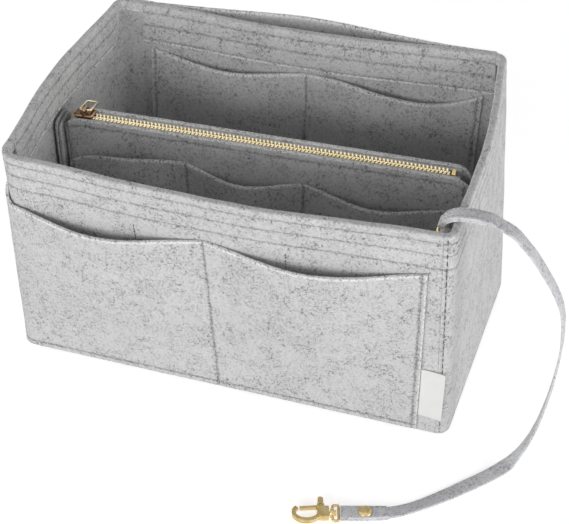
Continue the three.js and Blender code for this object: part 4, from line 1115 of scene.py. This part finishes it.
for side, name, node in ((-1, "front_tape", "zip_tape_front"), (1, "rear_tape", "zip_tape_rear")):
    rings = []
    for k in range(86):
        x = between(-130.2, 128.2, k / 85)
        wave = 0.06 * noise.noise(Vector((x * 0.1, side, 0)))
        rings.append([from_pouch(x, side * (y + wave), chain_z + z + wave) for y, z in tape_section])
    tape = add_piece(name, swept_mesh(name, rings), [tape_cloth], "pouch", [node])


def gold_material(name, bright, deep, gloss):
    """Plated metal: slow clouds of tone, and fine scratches that dull it in places."""
    material, nodes, shader = new_material(name, {"Metallic": 1.0})
    place = nodes.node("ShaderNodeTexCoord", output=3)
    cloud = nodes.node("ShaderNodeTexNoise", None, {"Vector": place, "Scale": 240.0, "Detail": 3.0})
    scratch = nodes.node("ShaderNodeTexNoise", None, {
        "Vector": nodes.node("ShaderNodeMapping", None, {"Vector": place, "Scale": (0.15, 1, 1)}),
        "Scale": 1800.0, "Detail": 2.0,
    })
    cloud.between(0.35, 0.7).mix(bright, deep).feeds(shader, "Base Color")
    dulled = gloss + cloud * 0.12 + scratch.between(0.55, 0.75) * 0.1
    dulled.feeds(shader, "Roughness")
    bump = nodes.node("ShaderNodeBump", None, {"Height": scratch, "Strength": 0.12, "Distance": 0.0001})
    bump.feeds(shader, "Normal")
    return material


zip_metal = gold_material("pale_zip_metal", (1.0, 0.92, 0.68), (0.95, 0.82, 0.54), 0.14)
slider_metal = gold_material("browned_slider_metal", (0.42, 0.29, 0.19), (0.2, 0.12, 0.08), 0.16)
gold_metal = gold_material("gold_toned_metal", (0.74, 0.58, 0.3), (0.56, 0.42, 0.17), 0.1)


def tooth_mesh(side):
    """One tooth at the origin: its legs clamp the tape's cord, and its head reaches past the middle."""
    lean = -0.3
    layers = ((3.0, 0.7, 0.95), (2.75, 0.92, 1.2), (2.1, 0.92, 1.2), (1.7, 0.76, 1.05), (0.7, 0.52, 0.95),
              (0.3, 0.61, 0.95), (-0.35, 0.61, 0.9), (-0.65, 0.42, 0.7))
    rings = []
    for y, half_x, half_z in layers:
        ring = []
        for k in range(8):
            turn = math.radians(22.5 + 45 * k)
            wide = half_x / math.cos(math.radians(22.5))
            high = half_z / math.cos(math.radians(22.5))
            ring.append((wide * math.cos(turn) + lean * max(0, y - 0.6), side * y, high * math.sin(turn)))
        rings.append(ring)
    return swept_mesh("tooth", rings)


def row_tree(name):
    """Geometry Nodes that set copies of a piece at even steps along X and turn them with the pouch."""
    tree, sizes = new_tree(name, (
        ("First", "Vector", (0, 0, 0)), ("Step", "Vector", (1, 0, 0)), ("Turn", "Vector", (0, 0, 0)),
        ("Count", "Int", 2),
    ))
    start = tree.nodes.new("NodeGroupInput")
    line = tree.nodes.new("GeometryNodeMeshLine")
    line.mode = "OFFSET"
    placed = tree.nodes.new("GeometryNodeInstanceOnPoints")
    link = tree.links.new
    link(start.outputs["Count"], line.inputs["Count"])
    link(start.outputs["First"], line.inputs["Start Location"])
    link(start.outputs["Step"], line.inputs["Offset"])
    link(line.outputs[0], placed.inputs["Points"])
    link(start.outputs["Geometry"], placed.inputs["Instance"])
    link(start.outputs["Turn"], placed.inputs["Rotation"])
    end_tree(tree, placed, zip_metal)
    return tree, sizes


tooth_row, tooth_row_sizes = row_tree("tooth_row")
tooth_pitch = 2.54
chain_start = -129.2
for side, name, node, lead, count in ((-1, "front_teeth", "zip_teeth_front", 0.5, 99),
                                      (1, "rear_teeth", "zip_teeth_rear", 1.0, 98)):
    tooth = placed_object("tooth", tooth_mesh(side))
    values = {
        "First": from_pouch(chain_start + lead * tooth_pitch, 0, chain_z) * mm,
        "Step": pouch_turn @ Vector((tooth_pitch * mm, 0, 0)), "Turn": (0, 0, pouch_angle), "Count": count,
    }
    row_mesh = realised(tooth, tooth_row, values, tooth_row_sizes)
    bpy.data.objects.remove(tooth)
    add_piece(name, row_mesh, [zip_metal], "pouch", [node], smooth=False)


def smoothed_copy(node, name, width, body, segments=2, metal=gold_metal):
    """A CAD piece's own form with its edges rounded, as polished castings have."""
    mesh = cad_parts[node].data.copy()
    mesh.name = name
    shape = bmesh.new()
    shape.from_mesh(mesh)
    bmesh.ops.remove_doubles(shape, verts=shape.verts, dist=1e-6)
    bmesh.ops.dissolve_limit(shape, angle_limit=math.radians(1), verts=shape.verts, edges=shape.edges)
    shape.to_mesh(mesh)
    shape.free()
    return soften_edges(add_piece(name, mesh, [metal], body, [node]), width, segments, 35, True)


for node in ("zip_top_stop_front", "zip_top_stop_rear", "zip_bottom_stop"):
    smoothed_copy(node, node + "_clamp", 0.35, "pouch", 3)


# Zip slider and pull: a cast slider over the teeth, with a crown that carries a bent wire frame. The
# frame lies back over the pouch's rear edge.
smoothed_copy("zip_slider", "slider_casting", 0.3, "slider", 3, slider_metal)
smoothed_copy("zip_pull", "pull_frame", 0.3, "pull", 3, zip_metal)


# Strap ring: a rectangular wire ring in a felt loop sewn inside the right wall, under the rim. The loop
# is a band folded over the wire, whose two ends are sewn to the wall together.
loop_y, loop_width = -78.51, 11
loop_share = 2.5 + loop_y / (2 * (half_depth(163.4) - corner_radius))
loop_face = wall_spot(loop_share, 172, -2 * felt - layer_gap - 0.5).x
loop_line = [
    (-1.2, 152), (-1.2, 158), (-1.25, 161.5), (-1.8, 164.6), (-3.3, 166.1), (-4.9, 166.4), (-6.7, 165.8),
    (-7.8, 164.2), (-7.8, 162.4), (-6.8, 160.9), (-5.2, 159.9), (-4.2, 158.3), (-3.7, 156), (-3.65, 152),
]
loop_middle, loop_reach = curve_points([(x, 0, z) for x, z in loop_line], [0] * len(loop_line), 60)
loop_rings = []
for k, (spot, turn, reach) in enumerate(loop_middle):
    along = direction_at(loop_middle, k)
    through = Vector((0, 1, 0)).cross(along)
    half, thick = loop_width / 2, 1.15
    r = strap_edge_round
    side = [(-half + r, -thick), (half - r, -thick), (half, -thick + r), (half, thick - r)]
    section = side + [(-a, -b) for a, b in side]
    loop_rings.append([
        Vector((loop_face, loop_y, 0)) + spot + Vector((0, 1, 0)) * a + through * b for a, b in section
    ])
loop_band = swept_mesh("strap_ring_loop", loop_rings)
ring_loop = add_piece(loop_band.name, loop_band, [grey_felt], "root", ["ring_loop"])
loop_reach * mm
sew("strap_ring_loop_stitches", [
    [Vector((loop_face - 4.75, loop_y + a, z)) for a in (-4, -2, 0, 2, 4)] for z in (154, 157)
], "root", pitch=2.4, thread=0.28)
smoothed_copy("strap_ring", "strap_ring_wire", 0.35, "root", 3)


# Rivet and swivel clasp at the strap's end: an eye that the strap folds round, a swivelling body with a
# curved claw, and a sprung gate with a thumb knob. All are cast or turned metal with a gold tone.
clasp_pieces = [
    smoothed_copy("strap_rivet", "rivet", 0.25, "root"),
    smoothed_copy("clasp_eye", "clasp_eye_frame", 0.25, "root"),
    smoothed_copy("clasp_body", "clasp_claw", 0.35, "clasp", 3),
    smoothed_copy("clasp_gate_pin", "clasp_pin", 0.15, "clasp"),
    smoothed_copy("clasp_gate", "clasp_gate_lever", 0.3, "gate", 3),
]
strap_length * mm
[[c * mm for c in f[0]] for f in strap_frames]


# The pale table that it stands on, and soft light: white walls all round, dimmer overhead, and three broad
# low lamps, so that the outside is bright and the inside is shaded by its own walls.
def shown_rays(nodes):
    """1 for what the camera sees, in a mirror and through glass too, and 0 for what only lights."""
    ray = nodes.node("ShaderNodeLightPath")
    seen = ray.maths("MAXIMUM", ray, ray.sibling("Is Glossy Ray"))
    return seen.maths("MAXIMUM", seen, ray.sibling("Is Transmission Ray"))


pale_floor, floor_nodes, floor_shader = new_material("pale_floor", {
    "Base Color": (0.9, 0.9, 0.9, 1), "Roughness": 0.9, "Specular IOR Level": 0.1,
})
floor_matt = Shade(floor_nodes.tree, floor_shader.outputs[0])
floor_glow = floor_nodes.node("ShaderNodeEmission", None, {"Color": (1, 1, 1, 1), "Strength": 0.55})
floor_lit = floor_nodes.node("ShaderNodeAddShader", None, {0: floor_matt, 1: floor_glow})
floor_look = floor_nodes.node("ShaderNodeMixShader", None, {
    0: shown_rays(floor_nodes), 1: floor_matt, 2: floor_lit,
})
floor_look.feeds(floor_nodes.tree.nodes["Material Output"], "Surface")
floor_mesh = bpy.data.meshes.new("table")
floor_reach, floor_drop = 6, 0.0004
floor_signs = ((-1, -1), (1, -1), (1, 1), (-1, 1))
floor_corners = [(x * floor_reach, y * floor_reach, -floor_drop) for x, y in floor_signs]
floor_mesh.from_pydata(floor_corners, [], [(0, 1, 2, 3)])
table = placed_object("table", floor_mesh)
floor_mesh.materials.append(pale_floor)

world = bpy.data.worlds.new("studio")
bpy.context.scene.world = world
world.use_nodes = True
world.node_tree.nodes.clear()
studio = Shade(world.node_tree)
side_light, overhead_dimming = 0.8, 0.76
upward = studio.node("ShaderNodeSeparateXYZ", None, {0: studio.node("ShaderNodeTexCoord")}, 2)
walls_light = side_light - studio.maths("MAXIMUM", upward, 0.0) * overhead_dimming
strength = walls_light + shown_rays(studio) * (1 - walls_light)
backdrop = studio.node("ShaderNodeBackground", None, {"Color": (1, 1, 1, 1), "Strength": strength})
backdrop.feeds(world.node_tree.nodes.new("ShaderNodeOutputWorld"), "Surface")

lamp_size = 1.4
lamp_aim = Vector((0, 0, 0.08))
for name, place, power in (
    ("front_lamp", (-0.4, -2.0, 0.52), 20.5),
    ("right_lamp", (2.0, -0.3, 0.45), 19.5),
    ("back_lamp", (-1.5, 1.7, 0.55), 22),
):
    lamp_data = bpy.data.lights.new(name, "AREA")
    lamp_data.shape = "DISK"
    lamp_data.size = lamp_size
    lamp_data.energy = power
    lamp = placed_object(name, lamp_data)
    lamp.location = place
    lamp.rotation_euler = (lamp_aim - Vector(place)).to_track_quat("-Z", "Y").to_euler()

bpy.context.scene.view_settings.view_transform = "Standard"
